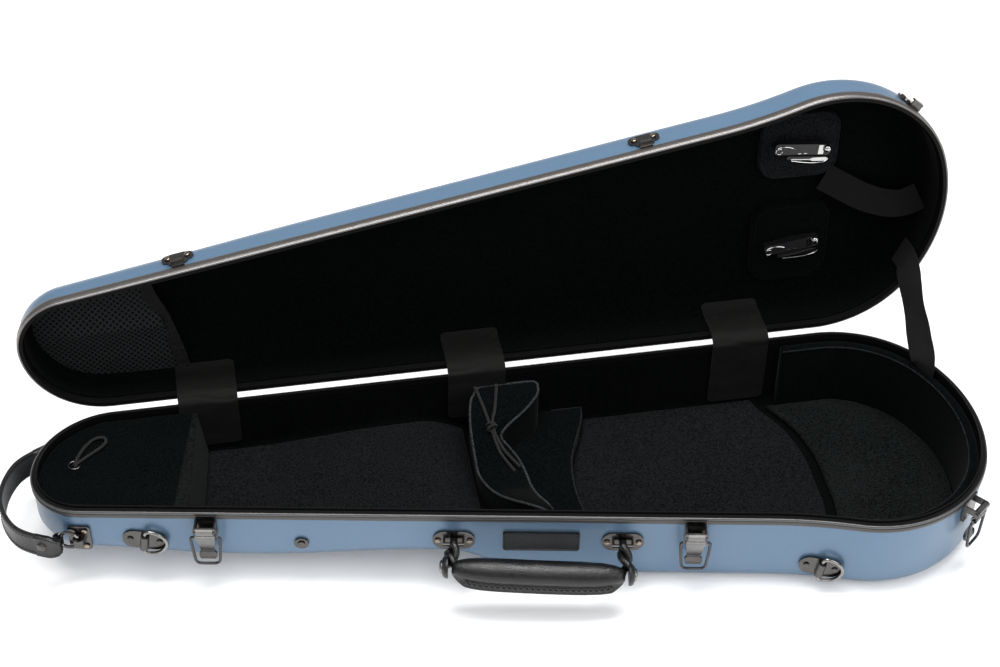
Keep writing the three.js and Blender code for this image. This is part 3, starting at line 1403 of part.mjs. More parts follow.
function addBowHolder(holder, number) {
  const pad = new THREE.ExtrudeGeometry(
    roundedShape(BOW_PAD_WIDTH, holder.deep * WIDTH, BOW_PAD_WIDTH / 4, bowX, -holder.across * WIDTH),
    { depth: LID_HEIGHT, bevelEnabled: false, curveSegments: CORNER_PARTS },
  ).translate(0, 0, bowPadFace);
  place(closedLid, `bow_pad_${number}`, solid(pad).intersect(lidRoom), 'pad');
  const group = new THREE.Group();
  group.position.set(bowX, -holder.spin * WIDTH, bowPadFace - SEAT_GAP);
  group.rotation.z = -radians(holder.turn);
  closedLid.add(group);
  const pin = BOW_BAR;
  const disc = new THREE.CylinderGeometry(BOW_DISC_RADIUS, BOW_DISC_RADIUS, BOW_BAR, 14).rotateX(QUARTER);
  const post = new THREE.CylinderGeometry(pin, pin, BOW_BAR * 3, 10).rotateX(QUARTER);
  const head = new THREE.CylinderGeometry(BOW_HEAD_RADIUS, BOW_HEAD_RADIUS, BOW_BAR / 2, 10).rotateX(QUARTER);
  const barUp = -BOW_BAR * 3 / 2 - SEAT_GAP;
  place(group, `bow_spinner_base_${number}`, joined(
    disc.translate(0, 0, -BOW_BAR / 2),
    post.translate(0, 0, -BOW_BAR * 3 / 2),
    head.translate(0, 0, -BOW_BAR * 9 / 4 - SEAT_GAP * 2),
  ), 'nickel');
  const half = BOW_BAR_LENGTH / 2;
  const wallY = BOW_WALL_PLACE;
  const block = (x, y, length, wide, low, high) => new THREE.BoxGeometry(length, wide, high - low)
    .translate(x, y, (low + high) / 2);
  const floorLow = barUp - BOW_BAR / 2;
  const floorHigh = barUp + BOW_BAR / 2;
  const tipRadius = BOW_BAR_WIDTH / 2;
  const stud = (x, y) => new THREE.CylinderGeometry(tipRadius, tipRadius, BOW_POST, 12)
    .rotateX(QUARTER).translate(x, y, floorHigh - BOW_POST / 2);
  const frontLow = floorHigh - BOW_POST * clipShares.front;
  const clip = joined(
    block(0, 0, BOW_BAR_LENGTH - tipRadius * 3, wallY * 2, floorLow, floorHigh),
    block(0, -wallY, BOW_BAR_LENGTH - tipRadius * 2, BOW_BAR, frontLow, floorHigh),
    block(
      BOW_BAR_LENGTH * clipShares.shift, wallY, BOW_BAR_LENGTH * clipShares.length, BOW_BAR / 2,
      floorHigh - BOW_POST * clipShares.back, floorHigh,
    ),
    stud(half - tipRadius, -wallY),
    stud(-half + tipRadius, -wallY),
  ).subtract(solid(
    new THREE.CylinderGeometry(pin + SEAT_GAP, pin + SEAT_GAP, BOW_POST * 2, 10).rotateX(QUARTER),
  )).subtract(solid(
    new THREE.CylinderGeometry(pin, pin, BOW_POST * 3, 10).rotateX(QUARTER)
      .translate(tipRadius - half, -wallY, 0),
  ));
  place(group, `bow_spinner_clip_${number}`, clip, 'bright');
}

holderShares.forEach((holder, k) => addBowHolder(holder, k + 1));

/** Middle line of the lid's ribbon, as shares of LENGTH, WIDTH and LID_HEIGHT. */
const ribbonShares = [
  [0.8917, 0.5297, 0.86], [0.8968, 0.5169, 0.768], [0.9197, 0.4788, 0.667],
  [0.9452, 0.4492, 0.606], [0.9656, 0.4449, 0.586], [0.9834, 0.4703, 0.566],
];

/** Flat ribbon that hangs in a bow from the ceiling by the first pad to the end wall. */
function addRibbonLoop() {
  const points = ribbonShares.map(
    ([along, across, up]) => [along * LENGTH, -across * WIDTH, up * LID_HEIGHT],
  );
  const path = smooth(points, 14);
  const band = solid(sweep(path, bandSection(LOOP_WIDTH, RIBBON_WALL), [0, 1, 0]));
  place(closedLid, 'lid_ribbon', band.intersect(lidRoom), 'ribbon');
}

addRibbonLoop();

/** Mouth of the net pocket, as shares of LENGTH and WIDTH. */
const mouthShares = [[0.172, 0.04], [0.156, -0.267], [0.143, -0.386], [0.13, -0.6], [0.12, -1.04]];

/** Net pocket across the scroll end of the lid, with a gathered band along its mouth. */
function addPocket() {
  const edge = mouthShares.map(([along, across]) => [along * LENGTH, across * WIDTH]);
  const bandEdge = edge.map(([x, y]) => [x - POCKET_BAND, y]);
  const face = LID_HEIGHT - POCKET_DEPTH - roomThickness;
  const net = prism([[-CUT_MARGIN, edge[0][1]], ...edge, [-CUT_MARGIN, farFront]], face - POCKET_WALL, face);
  const band = prism([...bandEdge.reverse(), ...edge], face - POCKET_WALL * 2, face + POCKET_WALL);
  place(closedLid, 'net_pocket', joined(net, band).intersect(lidRoom).subtract(lidCoverRoom), 'ribbon');
}

addPocket();

export default caseGroup;
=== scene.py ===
"""An open, shaped violin case in blue lacquered carbon fibre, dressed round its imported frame."""
import bisect
import math

import bmesh
import bpy
from mathutils import Matrix, Vector
from mathutils import noise as waves


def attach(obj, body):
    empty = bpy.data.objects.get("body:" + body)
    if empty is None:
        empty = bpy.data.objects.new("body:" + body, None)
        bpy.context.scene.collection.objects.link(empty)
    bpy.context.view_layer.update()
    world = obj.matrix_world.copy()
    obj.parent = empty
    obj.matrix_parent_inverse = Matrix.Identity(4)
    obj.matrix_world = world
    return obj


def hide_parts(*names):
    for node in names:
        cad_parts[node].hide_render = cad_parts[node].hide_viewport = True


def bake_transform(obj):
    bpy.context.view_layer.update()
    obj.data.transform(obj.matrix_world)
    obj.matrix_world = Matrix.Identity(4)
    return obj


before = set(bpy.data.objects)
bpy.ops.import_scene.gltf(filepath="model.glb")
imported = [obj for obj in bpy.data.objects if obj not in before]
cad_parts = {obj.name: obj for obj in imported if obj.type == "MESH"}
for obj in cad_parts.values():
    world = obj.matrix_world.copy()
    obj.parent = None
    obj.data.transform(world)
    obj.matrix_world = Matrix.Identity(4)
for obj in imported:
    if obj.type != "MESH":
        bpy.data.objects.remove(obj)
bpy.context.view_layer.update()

# Driving dimensions, in metres. x runs from the scroll tip, y is zero at the hinge side, z is zero at the rim.
MM = 0.001
LENGTH = 0.785
WIDTH = 0.236
BODY_DEPTH = 0.076
NECK_DEPTH = 0.0585
LID_HEIGHT = 0.0495
LID_CROWN = 0.004
OPEN_ANGLE = math.radians(93.2)
HINGE_OFFSET = 0.0026
REST_X = 0.58
SCROLL_BACK_RADIUS = 0.0694
SCROLL_TIP_RADIUS = 0.0456
SCROLL_BACK_TURN = math.radians(85.2)
FRONT_TAPER = math.radians(10.4)
FLARE_RADIUS = 0.433
FRONT_CORNER_RADIUS = 0.1007
BACK_CORNER_RADIUS = 0.0991
END_RADIUS = 0.1426
CORNER_SHIFT = 0.0023
ARC_STEP = math.radians(2.5)
STRAIGHT_STEP = 0.008
DEPTH_SHARES = [
    (0, 0.82), (0.045, 0.855), (0.105, 0.915), (0.165, 0.985), (0.225, 1), (0.265, 0.983), (0.305, 0.94),
    (0.365, 0.88), (0.415, 0.872),
]
STEP_SHARES = (0.415, 0.503)
HEIGHT_SHARES = [(0, 0.84), (0.05, 0.86), (0.16, 0.9), (0.3, 0.96), (0.5, 0.98), (0.75, 1), (1, 1)]
SHELL_WALL = 0.002
BASE_EDGE_RADIUS = 0.017
LID_EDGE_RADIUS = 0.026
SEAT_GAP = 0.0003
LINING = 0.0025
BASE_LINING_CORNER = 0.008
FRAME_PROUD = 0.0012
FRAME_WALL = 0.0009
FRAME_WEB = 0.0012
FRAME_INNER_LEG = 0.006
SEAL_WIDTH = 0.0012
SEAL_RISE = 0.0024
SEAL_DROP = 0.004
HINGE_SHARES = (0.188, 0.48, 0.778)
COVER_WIDTH = 0.05
COVER_WALL = 0.0012
PLATE = 0.0015
QUARTER = math.pi / 2

INNER_INSET = FRAME_PROUD + SHELL_WALL
LINING_INSET = INNER_INSET + SEAT_GAP
ROOM_INSET = LINING_INSET + LINING
ROOM_THICKNESS = SHELL_WALL + SEAT_GAP + LINING
SHELL_EDGE = SEAT_GAP + FRAME_WEB + SEAT_GAP
LINING_EDGE = FRAME_INNER_LEG + SEAT_GAP
LID_LINING_CORNER = LID_EDGE_RADIUS - ROOM_THICKNESS
SHELL_SEAT = SEAT_GAP - FRAME_PROUD


# Colours and materials

def rgb(red, green, blue):
    """Linear colour from the 8-bit one that is seen."""
    return tuple((c / 255 / 12.92 if c / 255 <= 0.04045 else ((c / 255 + 0.055) / 1.055) ** 2.4)
                 for c in (red, green, blue)) + (1,)


def new_material(name, colour, roughness, metallic=0.0, **inputs):
    """Material with a Principled shader and its plain inputs."""
    material = bpy.data.materials.new(name)
    material.use_nodes = True
    shader = material.node_tree.nodes["Principled BSDF"]
    shader.inputs["Base Color"].default_value = colour
    shader.inputs["Roughness"].default_value = roughness
    shader.inputs["Metallic"].default_value = metallic
    for key, value in inputs.items():
        shader.inputs[key.replace("_", " ")].default_value = value
    return material


def node(material, kind, links=None, **settings):
    """Node of a kind with its settings; links maps an input to an output socket or a value."""
    made = material.node_tree.nodes.new(kind)
    for key, value in settings.items():
        setattr(made, key, value)
    for key, value in (links or {}).items():
        if isinstance(value, bpy.types.NodeSocket):
            material.node_tree.links.new(value, made.inputs[key])
        else:
            made.inputs[key].default_value = value
    return made


def shader_of(material):
    return material.node_tree.nodes["Principled BSDF"]


def connect(material, output, key):
    material.node_tree.links.new(output, shader_of(material).inputs[key])


def object_place(material, scale=(1, 1, 1), turn=(0, 0, 0)):
    """Place in the row frame, in metres, scaled and turned."""
    place = node(material, "ShaderNodeTexCoord")
    links = {"Vector": place.outputs["Object"], "Scale": scale, "Rotation": turn}
    return node(material, "ShaderNodeMapping", links).outputs[0]


def ramp(material, factor, low, high, from_min=0.0, from_max=1.0):
    """Factor mapped to a range of values."""
    return node(material, "ShaderNodeMapRange", {
        "Value": factor, "From Min": from_min, "From Max": from_max, "To Min": low, "To Max": high,
    }).outputs["Result"]


def combined(material, operation, first, second):
    return node(material, "ShaderNodeMath", {0: first, 1: second}, operation=operation).outputs[0]


def shades(colour, *shares):
    """Darker and lighter versions of an 8-bit colour."""
    return [rgb(*(min(255, c * share) for c in colour)) for share in shares]


def mixed(material, factor, first, second):
    """Colour between two colours."""
    made = material.node_tree.nodes.new("ShaderNodeMix")
    made.data_type = "RGBA"
    for key, value in (("Factor", factor), ("A", first), ("B", second)):
        wanted = "VALUE" if key == "Factor" else "RGBA"
        socket = [s for s in made.inputs if s.name == key and s.type == wanted][0]
        if isinstance(value, bpy.types.NodeSocket):
            material.node_tree.links.new(value, socket)
        else:
            socket.default_value = value
    return [s for s in made.outputs if s.type == "RGBA"][0]


def bump(material, height, strength, distance):
    made = node(material, "ShaderNodeBump", {"Height": height, "Strength": strength, "Distance": distance})
    connect(material, made.outputs["Normal"], "Normal")


def noise(material, place, scale, detail=4.0, roughness=0.55):
    return node(material, "ShaderNodeTexNoise", {
        "Vector": place, "Scale": scale, "Detail": detail, "Roughness": roughness,
    }).outputs["Fac"]


def lacquer():
    """Satin metallic blue lacquer: fine flake, slow waves, a soft clear coat."""
    m = new_material("blue_lacquer", rgb(88, 116, 143), 0.36, 0.25, Coat_Weight=0.35, Coat_Roughness=0.22)
    place = object_place(m)
    flake = noise(m, place, 2600, 2)
    cloud = noise(m, place, 9, 3)
    tone = mixed(m, ramp(m, cloud, 0.25, 0.75, 0.3, 0.7), rgb(82, 110, 137), rgb(90, 119, 146))
    tone = mixed(m, ramp(m, flake, 0, 0.5, 0.45, 0.8), tone, rgb(118, 145, 170))
    connect(m, tone, "Base Color")
    connect(m, ramp(m, noise(m, place, 34, 5), 0.31, 0.42), "Roughness")
    bump(m, noise(m, place, 140, 3), 0.12, 0.0004)
    return m


def gunmetal(name="gunmetal", colour=(84, 83, 82), roughness=0.34):
    """Satin dark metal with a drawn grain along the case."""
    m = new_material(name, rgb(*colour), roughness, 0.85)
    grain = noise(m, object_place(m, (3, 60, 260)), 5, 3)
    connect(m, mixed(m, ramp(m, grain, 0, 1, 0.3, 0.7), *shades(colour, 0.95, 1)), "Base Color")
    connect(m, ramp(m, grain, roughness - 0.03, roughness + 0.05), "Roughness")
    bump(m, grain, 0.03, 0.0001)
    return m


def velour(name, dark, light, pile=0.0006, sheen=0.02):
    """Short black pile: fine nap, soft brushed patches and a sheen at grazing angles."""
    m = new_material(name, dark, 0.95, 0, Sheen_Weight=sheen, Sheen_Roughness=0.45, Specular_IOR_Level=0.015)
    place = object_place(m)
    nap = noise(m, place, 620, 5, 0.75)
    patch = noise(m, place, 16, 4, 0.6)
    tone = mixed(m, ramp(m, patch, 0, 1, 0.32, 0.68), dark, light)
    tone = mixed(m, ramp(m, nap, 0, 1, 0.42, 0.66), tone, tuple(c * 1.9 for c in light[:3]) + (1,))
    tone = mixed(m, ramp(m, nap, 1, 0, 0.34, 0.5), tone, tuple(c * 0.35 for c in dark[:3]) + (1,))
    connect(m, tone, "Base Color")
    bump(m, combined(m, "ADD", nap, ramp(m, patch, 0.0, 0.8)), 0.55, pile)
    return m


def leather(name="black_leather", colour=(10, 10, 10), roughness=0.27):
    """Black grained leather with a little polish on the high spots."""
    m = new_material(name, rgb(*colour), roughness, 0, Specular_IOR_Level=0.5)
    place = object_place(m)
    cells = node(m, "ShaderNodeTexVoronoi", {"Vector": place, "Scale": 620.0},
                 feature="DISTANCE_TO_EDGE").outputs["Distance"]
    wrinkle = noise(m, place, 160, 6, 0.6)
    connect(m, ramp(m, wrinkle, roughness - 0.04, roughness + 0.08), "Roughness")
    connect(m, mixed(m, ramp(m, wrinkle, 0, 1, 0.35, 0.7), *shades(colour, 0.75, 1.3)), "Base Color")
    bump(m, combined(m, "ADD", ramp(m, cells, 0, 1, 0, 0.25), wrinkle), 0.3, 0.0004)
    return m


def nickel(name, colour, roughness, metallic=1.0):
    """Plated metal with faint handling marks."""
    m = new_material(name, rgb(*colour), roughness, metallic)
    place = object_place(m)
    smear = noise(m, place, 90, 5, 0.65)
    connect(m, ramp(m, smear, max(0.05, roughness - 0.08), roughness + 0.12), "Roughness")
    connect(m, mixed(m, ramp(m, smear, 0, 1, 0.3, 0.7), *shades(colour, 0.85, 1)), "Base Color")
    bump(m, noise(m, place, 700, 3), 0.05, 0.0002)
    return m


def ribbon(name, colour, across=(1, 1, 1), scale=900.0, sheen=0.25):
    """Ribbed woven ribbon."""
    m = new_material(name, rgb(*colour), 0.68, 0, Sheen_Weight=sheen, Sheen_Roughness=0.35, Specular_IOR_Level=0.14)
    place = object_place(m, across)
    links = {"Vector": place, "Scale": scale, "Distortion": 0.4}
    bands = [node(m, "ShaderNodeTexWave", links, bands_direction=way).outputs["Fac"] for way in "XZ"]
    weave = combined(m, "MULTIPLY", *bands)
    connect(m, mixed(m, weave, *shades(colour, 0.7, 1.25)), "Base Color")
    bump(m, weave, 0.35, 0.0004)
    return m


def rubber():
    m = new_material("black_rubber", rgb(7, 7, 8), 0.6, 0, Specular_IOR_Level=0.12)
    bump(m, noise(m, object_place(m), 500, 3), 0.15, 0.0002)
    return m


def plastic():
    m = new_material("black_plastic", rgb(24, 24, 26), 0.3)
    place = object_place(m)
    connect(m, ramp(m, noise(m, place, 60, 4), 0.24, 0.4), "Roughness")
    bump(m, noise(m, place, 800, 2), 0.08, 0.0002)
    return m


def netting():
    """Dark net with round holes on a slanted grid."""
    m = new_material("pocket_net", rgb(30, 31, 33), 0.8, 0, Specular_IOR_Level=0.1)
    place = object_place(m, (1, 1, 1), (QUARTER, 0, math.radians(45)))
    cells = node(m, "ShaderNodeTexVoronoi", {"Vector": place, "Scale": 262.0, "Randomness": 0.0},
                 voronoi_dimensions="2D").outputs["Distance"]
    hole = ramp(m, cells, 1, 0, 0.27, 0.36)
    connect(m, mixed(m, hole, rgb(33, 35, 36), rgb(2, 2, 2)), "Base Color")
    bump(m, ramp(m, cells, 0, 1, 0.24, 0.36), 0.5, 0.0006)
    return m


PAINT = lacquer()
METAL = gunmetal()
# The lid frame's metal is a lighter copy of the base frame's gunmetal: painted light, for its face that looks up when
# the lid is open.
LID_METAL_PAINTED_LIT = gunmetal("lid_gunmetal_painted_lit", (116, 112, 109), 0.32)
# Lighter, glossier metal for a thin band along the top of each frame's outer face: a painted highlight line.
BEAD_HIGHLIGHT = gunmetal("bead_painted_highlight", (168, 167, 169), 0.24)
LIP_HIGHLIGHT = gunmetal("lip_painted_highlight", (106, 106, 108), 0.28)
VELOUR = velour("black_velour", rgb(2, 3, 3), rgb(5, 6, 6))
PAD = velour("black_velour_pad", rgb(10, 12, 12), rgb(17, 18, 19))
DARK_PAD = velour("dark_velour_pad", rgb(2, 4, 4), rgb(6, 8, 8))
BRUSHED = velour("brushed_velour_pad", rgb(6, 8, 8), rgb(17, 19, 19), 0.0009)
LEATHER = leather()
NICKEL = nickel("dark_nickel", (98, 96, 94), 0.2)
BAIL = nickel("bail_nickel", (84, 83, 85), 0.14)
STEEL = nickel("polished_nickel", (152, 151, 148), 0.12)
LEVER = nickel("lever_nickel", (128, 127, 126), 0.22)
KEEPER = nickel("keeper_nickel", (104, 102, 100), 0.18)
BRASS = nickel("rivet_nickel", (160, 146, 128), 0.18)
INLAY = nickel("badge_inlay_nickel", (52, 53, 55), 0.24)
CHROME = nickel("clip_chrome", (206, 205, 204), 0.1)
RIBBON = ribbon("black_ribbon", (8, 8, 9), sheen=0.02)
STAY = ribbon("stay_ribbon", (26, 25, 25), sheen=0.05)
TAPE = ribbon("satin_tape", (17, 17, 16), scale=1300.0, sheen=0.09)
BAND = ribbon("pocket_band", (22, 22, 23), scale=1300.0, sheen=0.06)
NET = netting()
BOW_VELOUR = velour("bow_pad_velour", rgb(12, 13, 15), rgb(21, 22, 24))
SEAL = rubber()
PLASTIC = plastic()
THREAD = new_material("dark_thread", rgb(50, 50, 50), 0.5)
bump(THREAD, noise(THREAD, object_place(THREAD), 1400, 3), 0.3, 0.0002)
CORD = ribbon("grey_cord", (36, 36, 35), scale=1800.0, sheen=0.06)
# Velours for the piping, lighter than the pads they edge: real piping whose lighter colour is a painted highlight
# along the edges.
PIPING_HIGHLIGHT = velour("piping_velour_painted_highlight", rgb(26, 29, 30), rgb(42, 45, 46), sheen=0.06)
DARK_PIPING_HIGHLIGHT = velour("dark_piping_velour_painted_highlight", rgb(15, 17, 18), rgb(24, 26, 27), sheen=0.04)


# Outline of the rim

def around(centre, radius, angle):
    return Vector((centre[0] + radius * math.cos(angle), centre[1] + radius * math.sin(angle)))


def angle_of(start, end):
    return math.atan2(end[1] - start[1], end[0] - start[0])


def crossing(a, from_a, b, from_b):
    """Centre at one distance from a and another from b, to the right of the way from a to b."""
    way = b - a
    span = way.length
    along = (from_a ** 2 - from_b ** 2 + span ** 2) / (2 * span)
    across = math.sqrt(from_a ** 2 - along ** 2)
    u = way / span
    return a + u * along + Vector((u.y, -u.x)) * across


SCROLL_TURN = QUARTER + SCROLL_BACK_TURN
FRONT_ANGLE = -QUARTER - FRONT_TAPER
SCROLL_STEP = SCROLL_BACK_RADIUS - SCROLL_TIP_RADIUS
scroll_back = Vector((SCROLL_TIP_RADIUS - SCROLL_STEP * math.cos(SCROLL_TURN), -SCROLL_BACK_RADIUS))
scroll_tip = around(scroll_back, SCROLL_STEP, SCROLL_TURN)
back_corner = Vector((0, -BACK_CORNER_RADIUS))
front_corner = Vector((CORNER_SHIFT, FRONT_CORNER_RADIUS - WIDTH))
end_centre = crossing(back_corner, END_RADIUS - BACK_CORNER_RADIUS, front_corner, END_RADIUS - FRONT_CORNER_RADIUS)
end_shift = Vector((LENGTH - END_RADIUS - end_centre.x, 0))
back_corner, front_corner, end_centre = (c + end_shift for c in (back_corner, front_corner, end_centre))
front_start = around(scroll_tip, SCROLL_TIP_RADIUS, FRONT_ANGLE)
front_way = Vector((math.cos(FRONT_TAPER), -math.sin(FRONT_TAPER)))
front_normal = Vector((math.cos(FRONT_ANGLE), math.sin(FRONT_ANGLE)))
flare_base = front_start + front_normal * FLARE_RADIUS
flare_reach = front_corner - flare_base
flare_run = flare_reach.dot(front_way) - math.sqrt(
    (FLARE_RADIUS + FRONT_CORNER_RADIUS) ** 2 - flare_reach.dot(front_normal) ** 2)
flare_centre = flare_base + front_way * flare_run
flare_start_x = front_start.x + front_way.x * flare_run
flare_angle = angle_of(flare_centre, front_corner)
flare_end = around(flare_centre, FLARE_RADIUS, flare_angle)


def front_at(x):
    """Point and outward normal on the front of the outline."""
    if x <= flare_start_x:
        return Vector((x, front_start.y - (x - front_start.x) * math.tan(FRONT_TAPER))), front_normal
    if x > flare_end.x:
        dx = x - front_corner.x
        drop = math.sqrt(FRONT_CORNER_RADIUS ** 2 - dx ** 2)
        return Vector((x, front_corner.y - drop)), Vector((dx / FRONT_CORNER_RADIUS, -drop / FRONT_CORNER_RADIUS))
    dx = x - flare_centre.x
    rise = math.sqrt(FLARE_RADIUS ** 2 - dx ** 2)
    return Vector((x, flare_centre.y + rise)), Vector((-dx / FLARE_RADIUS, -rise / FLARE_RADIUS))


def arc_point(centre, radius, angle):
    return around(centre, radius, angle), Vector((math.cos(angle), math.sin(angle)))


def steps(start, end, step):
    count = max(1, round(abs(end - start) / step))
    return [start + (end - start) * k / count for k in range(count)]


def outline():
    """Points, outward normals and the x of the spine point of each, counterclockwise from above."""
    found = []

    def arc(centre, radius, start, end, rib):
        found.extend((*arc_point(centre, radius, a), rib) for a in steps(start, end, ARC_STEP))

    first, last = scroll_back.x, flare_end.x
    arc(scroll_back, SCROLL_BACK_RADIUS, QUARTER, SCROLL_TURN, first)
    arc(scroll_tip, SCROLL_TIP_RADIUS, SCROLL_TURN, FRONT_ANGLE + 2 * math.pi, first)
    found.extend((*front_at(x), max(first, x)) for x in steps(front_start.x, last, STRAIGHT_STEP))
    corner_to = angle_of(end_centre, front_corner)
    end_to = angle_of(end_centre, back_corner)
    arc(front_corner, FRONT_CORNER_RADIUS, flare_angle - math.pi, corner_to, last)
    arc(end_centre, END_RADIUS, corner_to, end_to, last)
    arc(back_corner, BACK_CORNER_RADIUS, end_to, QUARTER, last)
    up = Vector((0, 1))
    found.extend((Vector((x, 0)), up, min(last, x)) for x in steps(back_corner.x, first, STRAIGHT_STEP))
    return found


STATIONS = outline()
SPINE_FROM, SPINE_TO = scroll_back.x, flare_end.x


def spine_point(x):
    return Vector((x, front_at(x)[0].y / 2))


def smooth_share(table, share):
    """Smooth line through a table of shares, with no overshoot."""
    keys = [k for k, _ in table]
    share = min(max(share, keys[0]), keys[-1])
    at = min(len(table) - 2, max(0, bisect.bisect_right(keys, share) - 1))

    def slope(k):
        if k <= 0 or k >= len(table) - 1:
            return 0.0
        before = (table[k][1] - table[k - 1][1]) / (keys[k] - keys[k - 1])
        after = (table[k + 1][1] - table[k][1]) / (keys[k + 1] - keys[k])
        return 0.0 if before * after <= 0 else 2 * before * after / (before + after)

    width = keys[at + 1] - keys[at]
    t = (share - keys[at]) / width
    a, b = table[at][1], table[at + 1][1]
    m, n = slope(at) * width, slope(at + 1) * width
    return (a * (1 + 2 * t) * (1 - t) ** 2 + m * t * (1 - t) ** 2 + b * t * t * (3 - 2 * t) + n * t * t * (t - 1))


def eased(value, low, high):
    t = min(1, max(0, (value - low) / (high - low)))
    return t * t * (3 - 2 * t)


def depth_at(x):
    neck = smooth_share(DEPTH_SHARES, min(x / LENGTH, STEP_SHARES[0])) * NECK_DEPTH
    return neck + (BODY_DEPTH - neck) * eased(x / LENGTH, *STEP_SHARES)


def height_at(x):
    return smooth_share(HEIGHT_SHARES, x / LENGTH) * LID_HEIGHT


BASE = {"side": -1, "reach": depth_at, "crown": 0, "radius": BASE_EDGE_RADIUS}
LID = {"side": 1, "reach": height_at, "crown": LID_CROWN, "radius": LID_EDGE_RADIUS}


# Places in the row frame

FROM_MIDDLE = Vector((0, WIDTH / 2, 0))


def in_base(p):
    """Place in the row frame of a point measured from the scroll tip, the hinge side and the rim."""
    return Vector((p[0] - REST_X, p[1] + WIDTH, p[2] + BODY_DEPTH)) - FROM_MIDDLE


def in_lid(p):
    """Place in the open case of a point of the closed lid."""
    reach, up = p[1] - HINGE_OFFSET, p[2]
    return in_base((
        p[0],
        HINGE_OFFSET + reach * math.cos(OPEN_ANGLE) + up * math.sin(OPEN_ANGLE),
        up * math.cos(OPEN_ANGLE) - reach * math.sin(OPEN_ANGLE),
    ))


# Mesh helpers

def finish_mesh(name, points, faces, material, body, sharp=math.radians(40), replaces=()):
    """Object from points and faces, turned outwards, shaded smooth between sharp edges."""
    mesh = bpy.data.meshes.new(name)
    mesh.from_pydata([tuple(p) for p in points], [], faces)
    bm = bmesh.new()
    bm.from_mesh(mesh)
    bmesh.ops.remove_doubles(bm, verts=bm.verts, dist=1e-6)
    bmesh.ops.dissolve_degenerate(bm, edges=bm.edges, dist=1e-7)
    bmesh.ops.recalc_face_normals(bm, faces=bm.faces)
    bm.to_mesh(mesh)
    bm.free()
    obj = bpy.data.objects.new(name, mesh)
    bpy.context.scene.collection.objects.link(obj)
    return dress(obj, material, body, sharp, replaces)


def dress(obj, material, body, sharp=math.radians(40), replaces=()):
    mesh = obj.data
    mesh.materials.clear()
    mesh.materials.append(material)
    mesh.shade_smooth()
    mesh.set_sharp_from_angle(angle=sharp)
    if body:
        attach(obj, body)
    if replaces:
        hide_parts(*replaces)
    return obj


def turns(count):
    """Evenly spaced angles round a circle."""
    return [2 * math.pi * k / count for k in range(count)]


def caps(row_count, size):
    """Faces that close the first and the last of a stack of rings."""
    return [list(range(size))[::-1], [(row_count - 1) * size + k for k in range(size)]]


def strips(row_count, size, wrap_rows, wrap_columns=True, start=0):
    """Quads between the rows of a grid of points, whose rows and columns may each close on themselves."""
    faces = []
    for row in range(row_count if wrap_rows else row_count - 1):
        after_row = (row + 1) % row_count
        for k in range(size if wrap_columns else size - 1):
            after = (k + 1) % size
            faces.append([start + row * size + k, start + row * size + after,
                          start + after_row * size + after, start + after_row * size + k])
    return faces


def row_at(inset, height):
    """Points along the outline, moved inwards."""
    return [(p.x - n.x * inset, p.y - n.y * inset, height(p.x)) for p, n, _ in STATIONS]


def row_towards_spine(inset, share, height):
    """Points along the outline, moved inwards and then a share of the way to the spine."""
    row = []
    for p, n, rib in STATIONS:
        middle = spine_point(rib)
        edge = p - n * inset
        there = edge.lerp(middle, share)
        row.append((there.x, there.y, height(there.x, share)))
    return row


EDGE_STEPS = 8
FLOOR_ROWS = (0.88, 0.7, 0.5, 0.3, 0.14)


def face_rows(form, face):
    """Rows of one face of a shell, from its middle over the rounded edge and up to the rim."""
    def flat(x):
        return form["reach"](x) - face["thickness"]

    rows = []
    for share in (0.999, *FLOOR_ROWS):
        def height(x, t):
            return form["side"] * (flat(x) + form["crown"] * (1 - (1 - t) ** 2))
        rows.append(row_towards_spine(face["inset"] + face["radius"], share, height))
    for k in range(EDGE_STEPS, -1, -1):
        angle = QUARTER * k / EDGE_STEPS
        inset = face["inset"] + face["radius"] * (1 - math.cos(angle))
        drop = face["radius"] * (1 - math.sin(angle))
        rows.append(row_at(inset, lambda x, d=drop: form["side"] * (flat(x) - d)))
    rows.append(row_at(face["inset"], lambda x: form["side"] * face["edge"]))
    return rows


def bowl(name, form, outer, inner, place, material, body):
    """Shell between an outer and an inner face, in place of the node of that name."""
    rows = face_rows(form, outer) + face_rows(form, inner)[::-1]
    size = len(STATIONS)
    points = [place(p) for row in rows for p in row]
    faces = strips(len(rows), size, False)
    faces += split_loop(list(range(size)), [p[0] for p in rows[0]])
    faces += split_loop([(len(rows) - 1) * size + k for k in range(size)], [p[0] for p in rows[-1]])
    return finish_mesh(name, points, faces, material, body, replaces=(name,))


def split_loop(loop, xs):
    """Triangles across a thin closed loop whose two sides run along the spine."""
    size = len(loop)
    first = min(range(size), key=lambda k: xs[k])
    last = max(range(size), key=lambda k: xs[k])
    one = [(first + k) % size for k in range((last - first) % size + 1)]
    two = [(first - k) % size for k in range((first - last) % size + 1)]
    faces, i, j = [], 0, 0
    while i < len(one) - 1 or j < len(two) - 1:
        if j == len(two) - 1 or (i < len(one) - 1 and xs[one[i + 1]] <= xs[two[j + 1]]):
            faces.append([loop[one[i]], loop[one[i + 1]], loop[two[j]]])
            i += 1
        else:
            faces.append([loop[one[i]], loop[two[j + 1]], loop[two[j]]])
            j += 1
    return [face for face in faces if len(set(face)) == 3]


def rim_ring(name, section, place, material, body, replaces=()):
    """Profile carried round the rim."""
    rows = [row_at(inset, lambda x, u=up: u) for inset, up in section]
    points = [place(p) for row in rows for p in row]
    return finish_mesh(name, points, strips(len(rows), len(STATIONS), True), material, body, replaces=replaces)


# Shells, rim frames, linings and the seal

